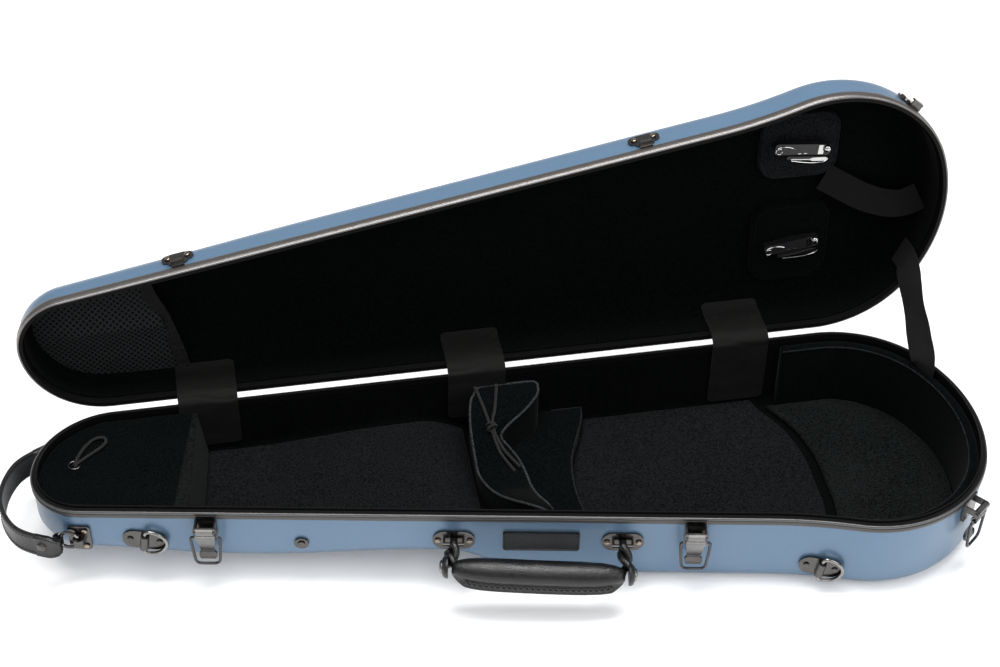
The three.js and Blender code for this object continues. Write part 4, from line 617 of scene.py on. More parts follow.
def shells():
    for form, place, body, name, lining, corner in (
        (BASE, in_base, "base", "lower_shell", "base_lining", BASE_LINING_CORNER),
        (LID, in_lid, "lid", "upper_shell", "lid_lining", LID_LINING_CORNER),
    ):
        outer = {"inset": FRAME_PROUD, "thickness": 0, "radius": form["radius"], "edge": SHELL_EDGE}
        inner = {"inset": INNER_INSET, "thickness": SHELL_WALL, "radius": form["radius"] - SHELL_WALL,
                 "edge": SHELL_EDGE}
        shell = bowl(name, form, outer, inner, place, PAINT, body)
        shell.name = f"{name}_laminate"
        outer = {"inset": LINING_INSET, "thickness": SHELL_WALL + SEAT_GAP,
                 "radius": form["radius"] - SHELL_WALL - SEAT_GAP, "edge": LINING_EDGE}
        inner = {"inset": ROOM_INSET, "thickness": ROOM_THICKNESS, "radius": corner, "edge": LINING_EDGE}
        cloth = bowl(lining, form, outer, inner, place, VELOUR, body)
        cloth.name = f"{lining}_velour"


# Outer face of each frame, in millimetres: how far in from the outline, and how far from the rim.
BASE_FACE = [(0.9, 7.0), (0.1, 6.8), (-0.15, 6.0), (-0.2, 4.6), (-0.1, 3.6), (0.45, 3.3), (0.5, 2.4), (0.0, 2.0),
             (-0.2, 1.5), (-0.1, 0.9), (0.35, 0.45)]
LID_FACE = [(0.9, 9.3), (0.2, 9.2), (-0.3, 8.4), (-0.55, 6.8), (-0.55, 5.2), (-0.35, 3.7), (0.05, 2.6), (0.3, 2.1),
            (0.1, 1.7), (-0.25, 1.3), (-0.25, 0.8), (0.15, 0.4)]


EDGE_PROUD = 0.00008
STRIP_OUT = 0.00009
STRIP_IN = 0.00002
STRIP_TOP = 0.00012


def frame_section(side, face):
    """Channel over a shell's edge: shaped outer face, flat top and inner leg."""
    leg = LINING_INSET + FRAME_WALL
    under = SEAT_GAP + FRAME_WEB
    outer = [(inset * MM, up * MM) for inset, up in face]
    section = [
        (FRAME_WALL, under), *outer, (FRAME_WALL, SEAT_GAP), (leg, SEAT_GAP), (leg, FRAME_INNER_LEG),
        (LINING_INSET, FRAME_INNER_LEG), (LINING_INSET, under),
    ]
    return [(inset, side * up) for inset, up in section]


def frames():
    # The lid frame takes the lighter copy of the gunmetal, painted light for its upward face.
    for side, face, place, body, name, metal, edge in (
        (-1, BASE_FACE, in_base, "base", "lower_frame", METAL, LIP_HIGHLIGHT),
        (1, LID_FACE, in_lid, "lid", "upper_frame", LID_METAL_PAINTED_LIT, BEAD_HIGHLIGHT),
    ):
        rim_ring(f"{name}_extrusion", frame_section(side, face), place, metal, body, (name,))
        # Thin band over the top of each frame's outer face, in the lighter metal: a painted highlight line.
        line = [(inset - EDGE_PROUD, up) for inset, up in frame_section(side, face[-4:])[1:5]]
        line += [(inset + SEAT_GAP, up) for inset, up in reversed(line)]
        rim_ring(f"{name}_painted_highlight_edge", line, place, edge, body)
        leg, start = LINING_INSET + FRAME_WALL, FRAME_WALL * 1.4
        foot, end = FRAME_INNER_LEG + 0.0001, FRAME_INNER_LEG + SEAT_GAP
        inner = [(leg + STRIP_OUT, 0.0002), (leg + STRIP_OUT, end), (LINING_INSET, end), (LINING_INSET, foot),
                 (leg + STRIP_IN, foot), (leg + STRIP_IN, 0.0002)]
        top = [(start, SEAT_GAP), (start, STRIP_TOP), (leg, STRIP_TOP), (leg, SEAT_GAP)]
        for part, profile in (("inner_strip", inner), ("top_strip", top)):
            rim_ring(f"{name}_{part}", [(inset, side * up) for inset, up in profile], place, SEAL, body)
    start = LINING_INSET + FRAME_WALL + SEAT_GAP
    end = start + SEAL_WIDTH
    bevel = SEAL_WIDTH / 3
    section = [(start, -SEAL_DROP), (start, SEAL_RISE - bevel), (start + bevel, SEAL_RISE),
               (end - bevel, SEAL_RISE), (end, SEAL_RISE - bevel), (end, -SEAL_DROP)]
    rim_ring("rim_seal_rubber", section, in_base, SEAL, "base", ("rim_seal",))


shells()
frames()


def floor_at(x):
    return -(depth_at(x) - ROOM_THICKNESS)


def crossings(inset, axis, value):
    """Where the line on which x or y has a value crosses the outline, moved inwards."""
    loop = [p - n * inset for p, n, _ in STATIONS]
    found = []
    for a, b in zip(loop, loop[1:] + loop[:1]):
        if a[axis] != b[axis] and (a[axis] - value) * (b[axis] - value) <= 0:
            t = (value - a[axis]) / (b[axis] - a[axis])
            found.append(a[1 - axis] + (b[1 - axis] - a[1 - axis]) * t)
    return found


def spread(length, radius, step):
    """Shares along a side, close together in its rounded edges."""
    ease = [radius * t for t in (0, 0.12, 0.35, 0.65, 1)]
    count = max(2, round((length - 2 * radius) / step))
    middle = [radius + (length - 2 * radius) * k / count for k in range(1, count)]
    return [v / length for v in (*ease, *middle, *(length - v for v in reversed(ease)))]


def lerp(a, b, t):
    return a + (b - a) * t


def columns_between(left, right, back, front):
    """Map of a stretch of floor: x between two edges that depend on y, y between two that depend on x."""
    def at(u, v):
        x = lerp(left(-WIDTH / 2), right(-WIDTH / 2), u)
        for _ in range(5):
            y = lerp(back(x), front(x), v)
            x = lerp(left(y), right(y), u)
        return x, y
    return at


def rows_between(left, right, back, front):
    """The same, where y runs between two fixed values."""
    def at(u, v):
        y = lerp(back, front, v)
        return lerp(left(y), right(y), u), y
    return at


def laid_pad(name, at, size, top, low, radius, material, replaces, body="base",
             crown=0.0006, step=0.006, lean=0.0, tuck=0.002, ripple=0.0):
    """Upholstered piece on a stretch of floor, with rounded edges and a crowned top."""
    us, vs = spread(size[0], radius, step), spread(size[1], radius, step)
    rows = []
    for v in vs:
        row = []
        for u in us:
            x, y = at(u, v)
            side = max(0, radius - min(u, 1 - u) * size[0])
            end = max(0, radius - min(v, 1 - v) * size[1])
            off = min(radius, math.hypot(side, end))
            drop = radius - math.sqrt(radius ** 2 - off ** 2)
            swell = crown * (1 - (2 * u - 1) ** 4) * (1 - (2 * v - 1) ** 4)
            wave = ripple * waves.noise(Vector((x * 55, y * 38, 1.7)))
            row.append((x, y, top(x, y) - drop + swell + wave))
        rows.append(row)
    nu, nv = len(us), len(vs)
    points = [in_base(p) for row in rows for p in row]

    def under(k, j):
        u = lerp(0.5, us[k], 1 - 2 * tuck / size[0])
        v = lerp(0.5, vs[j], 1 - 2 * tuck / size[1])
        x, y = at(u, v)
        return in_base((x + lean * us[k], y, low(x)))

    points += [under(k, j) for j in range(nv) for k in range(nu)]
    start = nu * nv
    rim = list(range(nu)) + [j * nu + nu - 1 for j in range(1, nv)]
    rim += [(nv - 1) * nu + k for k in range(nu - 2, -1, -1)] + [j * nu for j in range(nv - 2, 0, -1)]
    faces = strips(nv, nu, False, False) + strips(nv, nu, False, False, start)
    faces += [[a, b, start + b, start + a] for a, b in zip(rim, rim[1:] + rim[:1])]
    obj = finish_mesh(name, points, faces, material, body, math.radians(70), replaces)
    return obj


def smoothed(points, count, closed=False):
    """Evenly spaced points on a smooth curve through the given ones."""
    points = [Vector(p) for p in points]
    last = len(points) - 1
    fine = []
    for k in range(last + 1 if closed else last):
        if closed:
            a, b, c, d = (points[(k + n) % (last + 1)] for n in (-1, 0, 1, 2))
        else:
            a, b, c, d = points[max(0, k - 1)], points[k], points[k + 1], points[min(last, k + 2)]
        for part in range(12):
            t = part / 12
            fine.append(0.5 * (2 * b + (c - a) * t + (2 * a - 5 * b + 4 * c - d) * t * t
                               + (3 * b - a - 3 * c + d) * t ** 3))
    fine.append(points[0] if closed else points[-1])
    runs = [0.0]
    for a, b in zip(fine, fine[1:]):
        runs.append(runs[-1] + (b - a).length)
    made = []
    for k in range(count):
        want = runs[-1] * k / (count if closed else count - 1)
        j = min(len(fine) - 2, bisect.bisect_right(runs, want) - 1)
        t = (want - runs[j]) / max(1e-12, runs[j + 1] - runs[j])
        made.append(fine[j].lerp(fine[j + 1], min(1, t)))
    return made


def length_of(points):
    return sum((b - a).length for a, b in zip(points, points[1:]))


def tangents(path, closed=False):
    """Direction of a path at each of its points."""
    last = len(path) - 1
    found = []
    for k in range(last + 1):
        before = path[k - 1] if k or closed else path[k]
        after = path[(k + 1) % (last + 1)] if k < last or closed else path[k]
        found.append((after - before).normalized())
    return found


def tube(name, path, radius, material, body, closed=False, sides=8, replaces=()):
    """Round piping or wire along a path."""
    ways = tangents(path, closed)
    guide = Vector((0, 0, 1)) if abs(ways[0].z) < 0.9 else Vector((1, 0, 0))
    side = ways[0].cross(guide).normalized()
    points = []
    for p, way in zip(path, ways):
        side = (side - way * side.dot(way)).normalized()
        up = way.cross(side)
        points += [p + (side * math.cos(a) + up * math.sin(a)) * radius for a in turns(sides)]
    faces = strips(len(path), sides, closed)
    if not closed:
        faces += caps(len(path), sides)
    return finish_mesh(name, points, faces, material, body, math.radians(60), replaces)


def tape(name, path, across, width, wall, material, body, columns=12, ripple=None, replaces=(), widths=None):
    """Flat band along a path: across gives its width's direction at each point, ripple lifts it off its line."""
    ways = tangents(path)
    points, last = [], len(path) - 1
    for k, (p, way) in enumerate(zip(path, ways)):
        side = across(k / last) if callable(across) else across
        side = (side - way * side.dot(way)).normalized()
        up = side.cross(way)
        wide = widths(k / last) if widths else width
        line = []
        for j in range(columns + 1):
            share = j / columns - 0.5
            lift = ripple(k / last, share) if ripple else 0
            line.append((p + side * (share * wide) + up * lift, up))
        points += [q + n * (wall / 2) for q, n in line] + [q - n * (wall / 2) for q, n in reversed(line)]
    size = 2 * (columns + 1)
    faces = strips(len(path), size, False)
    for end in (0, last):
        for j in range(columns):
            quad = [end * size + j, end * size + j + 1, end * size + size - 2 - j, end * size + size - 1 - j]
            faces.append(quad if end else quad[::-1])
    return finish_mesh(name, points, faces, material, body, math.radians(50), replaces)


def on_wall(spot, up, place=in_base):
    """Frame on a wall of the case: along it, out of it and up it."""
    point, normal = spot
    along = Vector((-normal.y, normal.x))

    def at(x, out, rise):
        p = point + along * x + normal * out
        return place((p.x, p.y, up + rise))
    return at


def merged(name, parts, material, body, sharp=40):
    """One object from lists of points and faces."""
    points, faces = [], []
    for more_points, more_faces in parts:
        start = len(points)
        points += more_points
        faces += [[start + k for k in face] for face in more_faces]
    return finish_mesh(name, points, faces, material, body, math.radians(sharp))


def dome(at, x, out, rise, radius, height, sides=14):
    """Points and faces of a low round head that stands out of a wall."""
    profile = [(1, 0), (0.98, 0.35), (0.86, 0.7), (0.6, 0.92), (0.3, 1)]
    points = []
    for r, h in profile:
        points += [at(x + radius * r * math.cos(a), out + height * h, rise + radius * r * math.sin(a))
                   for a in turns(sides)]
    return points, strips(len(profile), sides, False) + caps(len(profile), sides)


# Upholstery of the base

PAD_WALL = 0.005
NECK_PAD = 0.0024
PAD_TOP = -(BODY_DEPTH - ROOM_THICKNESS - SEAT_GAP - PAD_WALL)
CRADLE_X = 0.46624 * LENGTH
CRADLE_RUN = 0.066
BLOCK_HEIGHT = 0.015
CUSHION_X = 0.8102 * LENGTH
CUSHION_LEAN = 0.012
CUSHION = 0.008
CUSHION_DROP = 0.0045
GROOVE = 0.009
DIVIDER_TOP = 0.006
DIVIDER_BACK_X = 0.1713 * LENGTH
DIVIDER_FRONT_X = 0.1401 * LENGTH
DIVIDER_FRONT_Y = -0.5297 * WIDTH
DIVIDER_BACK_WALL = 0.003
DIVIDER_FRONT_WALL = 0.014
DIVIDER_LEAN = 0.006
FLAP_TOP = -0.005
FLAP = 0.004
SADDLE_RUNS = [(0, 1), (0.1, 0.93), (0.17, 0.66), (0.235, 0.36), (0.3, 0.5), (0.37, 0.58), (0.46, 0.6),
               (0.55, 0.62), (0.64, 0.66), (0.72, 0.7), (0.8, 0.7)]
SADDLE_DROPS = [(0, 0.17), (0.1, 0.19), (0.17, 0.25), (0.235, 0.36), (0.3, 0.45), (0.37, 0.49), (0.46, 0.46),
                (0.55, 0.33), (0.64, 0.17), (0.72, 0.07), (0.8, 0.06)]
SADDLE_LEFT = [(0, 0.11), (0.05, 0.1), (0.1, 0.02), (0.2, -0.03), (0.37, -0.03), (0.46, 0.07), (0.54, 0.2),
               (0.61, 0.35), (0.68, 0.54), (0.735, 0.655), (0.8, 0.66)]
SHOULDER = [(0, 0.605), (0.028, 0.6), (0.1, 0.595), (0.19, 0.584), (0.33, 0.57), (0.46, 0.567), (0.56, 0.57),
            (0.8, 0.585)]
GROOVE_ARC = [(-0.02, 0.795), (0.034, 0.797), (0.24, 0.825), (0.4, 0.833), (0.56, 0.833), (0.7, 0.828), (1.02, 0.812)]


def back_edge(inset):
    return lambda x: -inset


def front_edge(inset):
    def at(x):
        point, normal = front_at(min(x, flare_end.x))
        if x > flare_end.x:
            return min(crossings(inset, 0, x))
        return point.y - inset / normal.y
    return at


def across_width(table, scale, start=0.0):
    """Function of y through a table whose keys are shares of the width."""
    return lambda y: start + smooth_share(table, -y / WIDTH) * scale


saddle_left = across_width(SADDLE_LEFT, CRADLE_RUN, CRADLE_X)
saddle_right = across_width(SADDLE_RUNS, CRADLE_RUN, CRADLE_X)
saddle_top = across_width(SADDLE_DROPS, -BODY_DEPTH)
shoulder = across_width(SHOULDER, LENGTH)
groove = across_width(GROOVE_ARC, LENGTH)


def flap_edge(y):
    run = (DIVIDER_BACK_X - DIVIDER_FRONT_X) / (-ROOM_INSET - DIVIDER_FRONT_Y)
    return DIVIDER_BACK_X + (y + ROOM_INSET) * run


def divider_right(y):
    t = (-ROOM_INSET - y) / (-ROOM_INSET - DIVIDER_FRONT_Y)
    return flap_edge(y) + lerp(DIVIDER_BACK_WALL, DIVIDER_FRONT_WALL, t)


def base_pads():
    """Pads glued to the floor, the step at the violin's shoulder and the saddle for its neck."""
    pads = []
    gap = SEAT_GAP
    edge = ROOM_INSET + 0.0024
    at = columns_between(lambda y: divider_right(y) + DIVIDER_LEAN + gap, lambda y: CRADLE_X - 0.0024,
                         back_edge(edge), front_edge(edge))
    laid_pad("neck_pad_velour", at, (0.22, 0.13), lambda x, y: floor_at(x) + NECK_PAD, lambda x: floor_at(x) + 0.0001,
             0.0022, PAD, ("neck_pad",), crown=0.0004, tuck=0.004, ripple=0.0005)
    edge = ROOM_INSET + 0.0009
    at = columns_between(lambda y: shoulder(y) + gap, groove, back_edge(edge), front_edge(edge))
    laid_pad("body_pad_velour", at, (0.17, 0.2), lambda x, y: PAD_TOP, lambda x: PAD_TOP - PAD_WALL + gap,
             0.0028, PAD, ("body_pad",), crown=0.0006, tuck=0.006, ripple=0.0006)
    inner = ROOM_INSET + CUSHION + LINING
    front = min(p.y - n.y * inner for p, n, _ in STATIONS)
    at = rows_between(lambda y: max(groove(y) + GROOVE, min(crossings(inner, 1, y))),
                      lambda y: max(crossings(inner, 1, y)), -inner - 0.0001, front + 0.0005)
    pads.append(laid_pad("end_pad_velour", at, (0.11, 0.2), lambda x, y: PAD_TOP, lambda x: PAD_TOP - PAD_WALL + gap,
                         0.0028, BRUSHED, ("end_pad",), crown=0.0008, tuck=0.002, ripple=0.0006))
    edge = ROOM_INSET + gap
    at = columns_between(lambda y: saddle_right(y) + gap, shoulder, back_edge(edge), front_edge(edge))
    block_top = PAD_TOP + BLOCK_HEIGHT
    pads.append(laid_pad("shoulder_block_velour", at, (0.045, 0.19), lambda x, y: block_top,
                         lambda x: floor_at(x) + 0.0002, 0.003, DARK_PAD, ("shoulder_block",), tuck=0.001, step=0.005))
    line = [at(1, v) for v in (0.006, 0.01, 0.03, 0.08, 0.2, 0.35, 0.5, 0.65, 0.8, 0.95, 0.99)]
    corner = [at(u, 0.006) for u in (0.3, 0.6, 0.9, 0.985)]
    path = [in_base((x - 0.0006, y, block_top - 0.0009)) for x, y in (*corner, *line)]
    # Piping along the block's top edge: real piping whose lighter colour is a painted highlight.
    tube("shoulder_block_piping_highlight", smoothed(path, 70), 0.0008, DARK_PIPING_HIGHLIGHT, "base", sides=7)
    at = columns_between(saddle_left, saddle_right, back_edge(edge), front_edge(edge))
    pads.append(laid_pad("neck_cradle_velour", at, (0.042, 0.172), lambda x, y: saddle_top(y),
                         lambda x: floor_at(x) + 0.0003, 0.0032, DARK_PAD, ("neck_cradle",), crown=0.0012,
                         tuck=0.0003, step=0.004))
    loop = [(0.02, v) for v in (0.98, 0.94, 0.9, 0.85, 0.8, 0.7, 0.6, 0.5, 0.4, 0.3, 0.2, 0.1, 0.06)]
    loop += [(0.06, 0.02), (0.16, 0.007), (0.5, 0.006), (0.84, 0.007), (0.95, 0.02)]
    loop += [(0.985, v) for v in (0.06, 0.1, 0.16, 0.2, 0.25, 0.3, 0.36, 0.42, 0.5, 0.6, 0.7, 0.8, 0.9, 0.98)]
    loop += [(u, 0.994) for u in (0.8, 0.5, 0.2)]
    path = [in_base((x, y, saddle_top(y) - 0.0005)) for x, y in (at(u, v) for u, v in loop)]
    # Piping round the saddle's top: real piping whose lighter colour is a painted highlight.
    tube("neck_cradle_piping_highlight", smoothed(path, 190, True), 0.0011, PIPING_HIGHLIGHT, "base", closed=True, sides=7)
    return pads


def divider_and_flap():
    """Upright wall of the accessory compartment and the padded flap over it."""
    edge = ROOM_INSET + SEAT_GAP
    at = columns_between(flap_edge, divider_right, back_edge(edge), front_edge(edge))
    laid_pad("divider_velour", at, (0.009, 0.12), lambda x, y: -DIVIDER_TOP, lambda x: floor_at(x) + 0.0002,
             0.0012, BRUSHED, ("accessory_divider",), crown=0, step=0.006, lean=DIVIDER_LEAN, tuck=0)
    front = min(crossings(edge, 0, DIVIDER_FRONT_X - 0.002))
    at = rows_between(lambda y: min(crossings(edge, 1, y)), lambda y: flap_edge(y) - SEAT_GAP, -edge - 0.0002, front)
    laid_pad("flap_velour", at, (0.1, 0.12), lambda x, y: FLAP_TOP, lambda x: FLAP_TOP - FLAP,
             0.0014, DARK_PAD, ("accessory_flap",), body="flap", crown=0.0, tuck=0, ripple=0.0009)


def rim_run(first, last, count, soft):
    """Points and outward normals along the rim of the wide end, from the front to the back."""
    inside = [(p, n) for p, n, _ in STATIONS if p.x > (first if p.y < -WIDTH / 2 else last)]
    run = [front_at(first), *inside, (Vector((last, 0)), Vector((0, 1)))]
    lengths = [0.0]
    for a, b in zip(run, run[1:]):
        lengths.append(lengths[-1] + (b[0] - a[0]).length)
    whole = lengths[-1]
    wants = sorted({*(whole * k / count for k in range(count + 1)), *soft, *(whole - s for s in soft)})
    found = []
    for want in wants:
        k = min(len(run) - 2, bisect.bisect_right(lengths, want) - 1)
        t = (want - lengths[k]) / (lengths[k + 1] - lengths[k])
        point = run[k][0].lerp(run[k + 1][0], t)
        normal = run[k][1].lerp(run[k + 1][1], t).normalized()
        found.append((point, normal, min(want, whole - want)))
    return found


def side_cushion():
    """Padded wall round the wide end, crowned along its top, with piping on its inner edge whose lighter colour is a
    painted highlight.
    """
    radius, corner, back = 0.0034, 0.003, SEAT_GAP
    top, low = -CUSHION_DROP, floor_at(LENGTH) + 0.0001
    section = [(0.0081, low), (0.0026, low + 0.0024), (back, low + 0.0079), (back, low * 0.5), (back, top - radius)]
    for k in range(1, 9):
        angle = math.pi * k / 8
        section.append((back + (CUSHION - back) / 2 * (1 - math.cos(angle)), top - radius + radius * math.sin(angle)))
    section += [(CUSHION + 0.0006, top - radius * 2), (CUSHION + 0.0011, low * 0.55), (CUSHION + 0.001, low * 0.75),
                (CUSHION + SEAT_GAP, low)]
    stations = rim_run(CUSHION_X, CUSHION_X + CUSHION_LEAN, 90, (0.0003, 0.0009, 0.0018, corner))
    points = []
    for p, n, end in stations:
        shrink = corner - math.sqrt(corner ** 2 - max(0, corner - end) ** 2)
        for inset, z in section:
            inset = ROOM_INSET + min(inset, inset - shrink if inset > CUSHION / 2 else inset)
            z = min(z, top - shrink)
            points.append(in_base((p.x - n.x * inset, p.y - n.y * inset, z)))
    size = len(section)
    faces = strips(len(stations), size, False) + caps(len(stations), size)
    cushion = finish_mesh("side_cushion_velour", points, faces, DARK_PAD, "base", math.radians(70),
                          ("side_cushion",))
    inset = ROOM_INSET + CUSHION - 0.0002
    line = [in_base((p.x - n.x * inset, p.y - n.y * inset, top - 0.0024)) for p, n, _ in stations]
    down = [Vector((line[0].x, line[0].y, line[0].z - d)) for d in (0.05, 0.02, 0.005)]
    # Piping along the cushion's inner edge: real piping whose lighter colour is a painted highlight.
    tube("side_cushion_piping_highlight", down + line[4:], 0.0008, DARK_PIPING_HIGHLIGHT, "base", sides=7)
    return cushion


def lid_ceiling(x, y):
    """Inner height of the lid over a point, in the closed lid."""
    inset = ROOM_INSET + LID_LINING_CORNER
    middle = spine_point(min(max(x, SPINE_FROM), SPINE_TO))
    way = Vector((x, y)) - middle
    reach = way.length
    if reach < 1e-6:
        return height_at(x) - ROOM_THICKNESS + LID_CROWN
    way /= reach
    loop = [p - n * inset for p, n, _ in STATIONS]
    edge = reach
    for a, b in zip(loop, loop[1:] + loop[:1]):
        side = b - a
        cross = way.x * side.y - way.y * side.x
        if abs(cross) < 1e-12:
            continue
        off = a - middle
        t = (off.x * side.y - off.y * side.x) / cross
        s = (off.x * way.y - off.y * way.x) / cross
        if t > 0 and -1e-9 <= s <= 1 + 1e-9:
            edge = t
            break
    share = max(0, 1 - reach / edge)
    return height_at(x) - ROOM_THICKNESS + LID_CROWN * (1 - (1 - share) ** 2)


BOW_PAD = 0.004
BOW_X = 0.8452 * LENGTH
BOW_PAD_WIDTH = 0.069
BOW_HOLDERS = [(0.7034, 0.2712), (0.2797, 0.3347)]


def rounded_outline(half_x, half_y, corner, parts=8):
    """Rectangle with round corners."""
    points = []
    for sx, sy, start in ((1, 1, 0), (-1, 1, 1), (-1, -1, 2), (1, -1, 3)):
        for k in range(parts + 1):
            angle = QUARTER * (start + k / parts)
            points.append((sx * (half_x - corner) + corner * math.cos(angle),
                           sy * (half_y - corner) + corner * math.sin(angle)))
    return points


def bow_pads():
    """Two flat pads on the lid's ceiling, soft at the edges, with a sewn channel round each."""
    face = LID_HEIGHT - ROOM_THICKNESS - BOW_PAD
    for number, (across, deep) in enumerate(BOW_HOLDERS, 1):
        cx, cy = BOW_X, -across * WIDTH
        half_x, half_y = BOW_PAD_WIDTH / 2, deep * WIDTH / 2
        corner = BOW_PAD_WIDTH / 4
        levels = [(0, None), (0, 0.0016), (0.0005, 0.0007), (0.0014, 0.0002), (0.0026, 0.0003), (0.0033, 0.0008),
                  (0.004, 0.0003), (0.0055, -0.0001), (0.011, -0.0006), (0.0165, -0.0008)]
        points, size = [], 0
        for inset, drop in levels:
            loop = rounded_outline(half_x - inset, half_y - inset, corner - inset)
            size = len(loop)
            for x, y in loop:
                h = lid_ceiling(cx + x, cy + y) + 0.0004 if drop is None else face + drop
                points.append(in_lid((cx + x, cy + y, h)))
        faces = strips(len(levels), size, False)
        inner = (len(levels) - 1) * size
        for share in (0.6, 0.25):
            start = len(points)
            loop = rounded_outline(half_x - 0.0165, half_y - 0.0165, 0.001)
            points += [in_lid((cx + x * share, cy + y * share, face - 0.0009)) for x, y in loop]
            faces += [[inner + k, inner + (k + 1) % size, start + (k + 1) % size, start + k] for k in range(size)]
            inner = start
        faces.append([inner + k for k in range(size)])
        faces.append(list(range(size))[::-1])
        material = BOW_VELOUR if number == 1 else DARK_PAD
        obj = finish_mesh(f"bow_pad_{number}_velour", points, faces, material, "lid",
                          math.radians(60), (f"bow_pad_{number}",))


def lower_part(obj):
    """Whether a point lies in the lower part of a cushion, which stays where it is glued."""
    heights = [v.co.z for v in obj.data.vertices]
    limit = lerp(min(heights), max(heights), 0.45)
    return lambda co: co.z < limit


CLOTH_RULES = {
    "quality": 4, "mass": 0.3, "tension_stiffness": 25, "compression_stiffness": 25, "shear_stiffness": 8,
    "bending_stiffness": 1.5, "use_pressure": True, "uniform_pressure_force": 3,
}


PLUMP = 0.0009


def plumped(pieces, cap, frames=12):
    """Runs each cover as cloth over its filling, with its foot held, and moves no point further than the cap."""
    scene = bpy.context.scene
    for obj in pieces:
        held = lower_part(obj)
        group = obj.vertex_groups.new(name="held")
        group.add([v.index for v in obj.data.vertices if held(v.co)], 1.0, "REPLACE")
        cover = obj.modifiers.new("cover", "CLOTH")
        for key, value in CLOTH_RULES.items():
            setattr(cover.settings, key, value)
        cover.settings.effector_weights.gravity = 0
        cover.settings.vertex_group_mass = group.name
        cover.point_cache.frame_start = 1
        cover.point_cache.frame_end = frames
    for number in range(1, frames + 1):
        scene.frame_set(number)
    graph = bpy.context.evaluated_depsgraph_get()
    moved = [[v.co.copy() for v in obj.evaluated_get(graph).data.vertices] for obj in pieces]
    for obj, places in zip(pieces, moved):
        obj.modifiers.clear()
        obj.vertex_groups.clear()
        for vertex, place in zip(obj.data.vertices, places):
            way = place - vertex.co
            if way.length > cap:
                way *= cap / way.length
            vertex.co += way
        obj.data.update()
    scene.frame_set(1)


# Cloth and ribbons

COVER_INSET = ROOM_INSET + SEAT_GAP + COVER_WALL
CLOTH = 0.0007
STAY_WIDTH = 0.024
STAY_ANGLE = math.radians(26.5)
RIBBON_WALL = 0.0014
LOOP_WIDTH = 0.024
RIBBON_SHARES = [(0.8764, 0.5593, 0.84), (0.8917, 0.5297, 0.775), (0.9197, 0.4788, 0.667), (0.9452, 0.4492, 0.606),
                 (0.9656, 0.4449, 0.586), (0.9834, 0.4703, 0.566)]
POCKET_DEPTH = 0.014
NET_RIDGE = 0.0045
NET_RIDGE_AT = -0.06
NET_RIDGE_WIDTH = 0.022
MOUTH_BAND = 0.0105
COVER_CORNER = 0.004
MOUTH = [(-0.04, 0.172), (0.267, 0.156), (0.386, 0.143), (0.6, 0.13), (1.04, 0.12)]


def hinge_covers():
    """Satin tapes over the hinges, down the base's wall and up the lid's, creased where they bend."""
    for number, share in enumerate(HINGE_SHARES, 1):
        x, y = share * LENGTH, -COVER_INSET
        low = -(depth_at(x - COVER_WIDTH / 2) - ROOM_THICKNESS - BASE_LINING_CORNER)
        wall_top = height_at(x - COVER_WIDTH / 2) - LID_EDGE_RADIUS
        bend = LID_LINING_CORNER - COVER_WALL - SEAT_GAP
        over = in_lid((x, y, SEAL_RISE))
        rim = in_base((x, y + COVER_WALL, SEAL_RISE * 2))
        middle = Vector((over.x, (in_base((x, y, 0)).y + over.y) / 2, over.z - COVER_WALL))
        corner = [in_lid((x, y - bend * (1 - math.cos(a)), wall_top + bend * math.sin(a)))
                  for a in (0, QUARTER * 0.15, QUARTER * 0.3, QUARTER * 0.45)]
        wall = [in_base((x, y, up)) for up in (low, low / 2, 0)]
        path = smoothed([*wall, rim, middle, over, *corner], 70)
        seed = number * 3.1

        def ripple(t, s, seed=seed):
            calm = min(1, 8 * t) * min(1, 8 * (1 - t))
            fold = 0.0006 * math.sin(9 * t + 2.2 * s + seed) * math.cos(3 * s)
            crease = 0.0009 * math.exp(-((t - 0.56 - 0.03 * math.sin(5 * s + seed)) / 0.012) ** 2)
            return calm * (fold - crease + 0.0011 * waves.noise(Vector((t * 9, s * 3.5, seed))))

        def widths(t):
            off = max(0, COVER_CORNER - min(t, 1 - t) * 0.13)
            return COVER_WIDTH - 2 * (COVER_CORNER - math.sqrt(max(0, COVER_CORNER ** 2 - off ** 2)))

        obj = tape(f"hinge_cover_{number}_satin", path, Vector((1, 0, 0)), COVER_WIDTH, CLOTH, TAPE, None,
                   18, ripple, (f"hinge_cover_{number}",), widths)
        length_of(path)
        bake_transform(obj)


def soft_waves(height, along, across, seed):
    """Slight waves of a ribbon, calm at its two ends."""
    return lambda t, s: height * math.sin(math.pi * t) * waves.noise(Vector((t * along, s * across, seed)))


def lid_stay():
    """Ribbon that stops the lid: down from its lining and tucked behind the side cushion."""
    point, normal = arc_point(back_corner, BACK_CORNER_RADIUS, STAY_ANGLE)
    spot = point - normal * (ROOM_INSET + RIBBON_WALL * 3)
    x, y = spot
    over = SEAL_RISE * 2
    foot = in_base((x, y, -CUSHION_DROP + SEAT_GAP * 2))
    first, second = in_base((x, y, over)), in_lid((x, y, over))
    middle = [first.lerp(second, t) for t in (0.2, 0.4, 0.6, 0.8)]
    path = smoothed([foot, first, *middle, second, in_lid((x, y, LID_HEIGHT / 2))], 60)

    def across(t):
        turn = OPEN_ANGLE * eased(t, 0.3, 0.7)
        return Vector((normal.y, -normal.x * math.cos(turn), normal.x * math.sin(turn)))

    ripple = soft_waves(0.0009, 5, 2, 8.3)
    obj = tape("lid_stay_ribbon", path, across, STAY_WIDTH, CLOTH, STAY, None, 10, ripple, ("lid_stay",))
    length_of(path)
    tuple(first)
    tuple(second)
    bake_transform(obj)


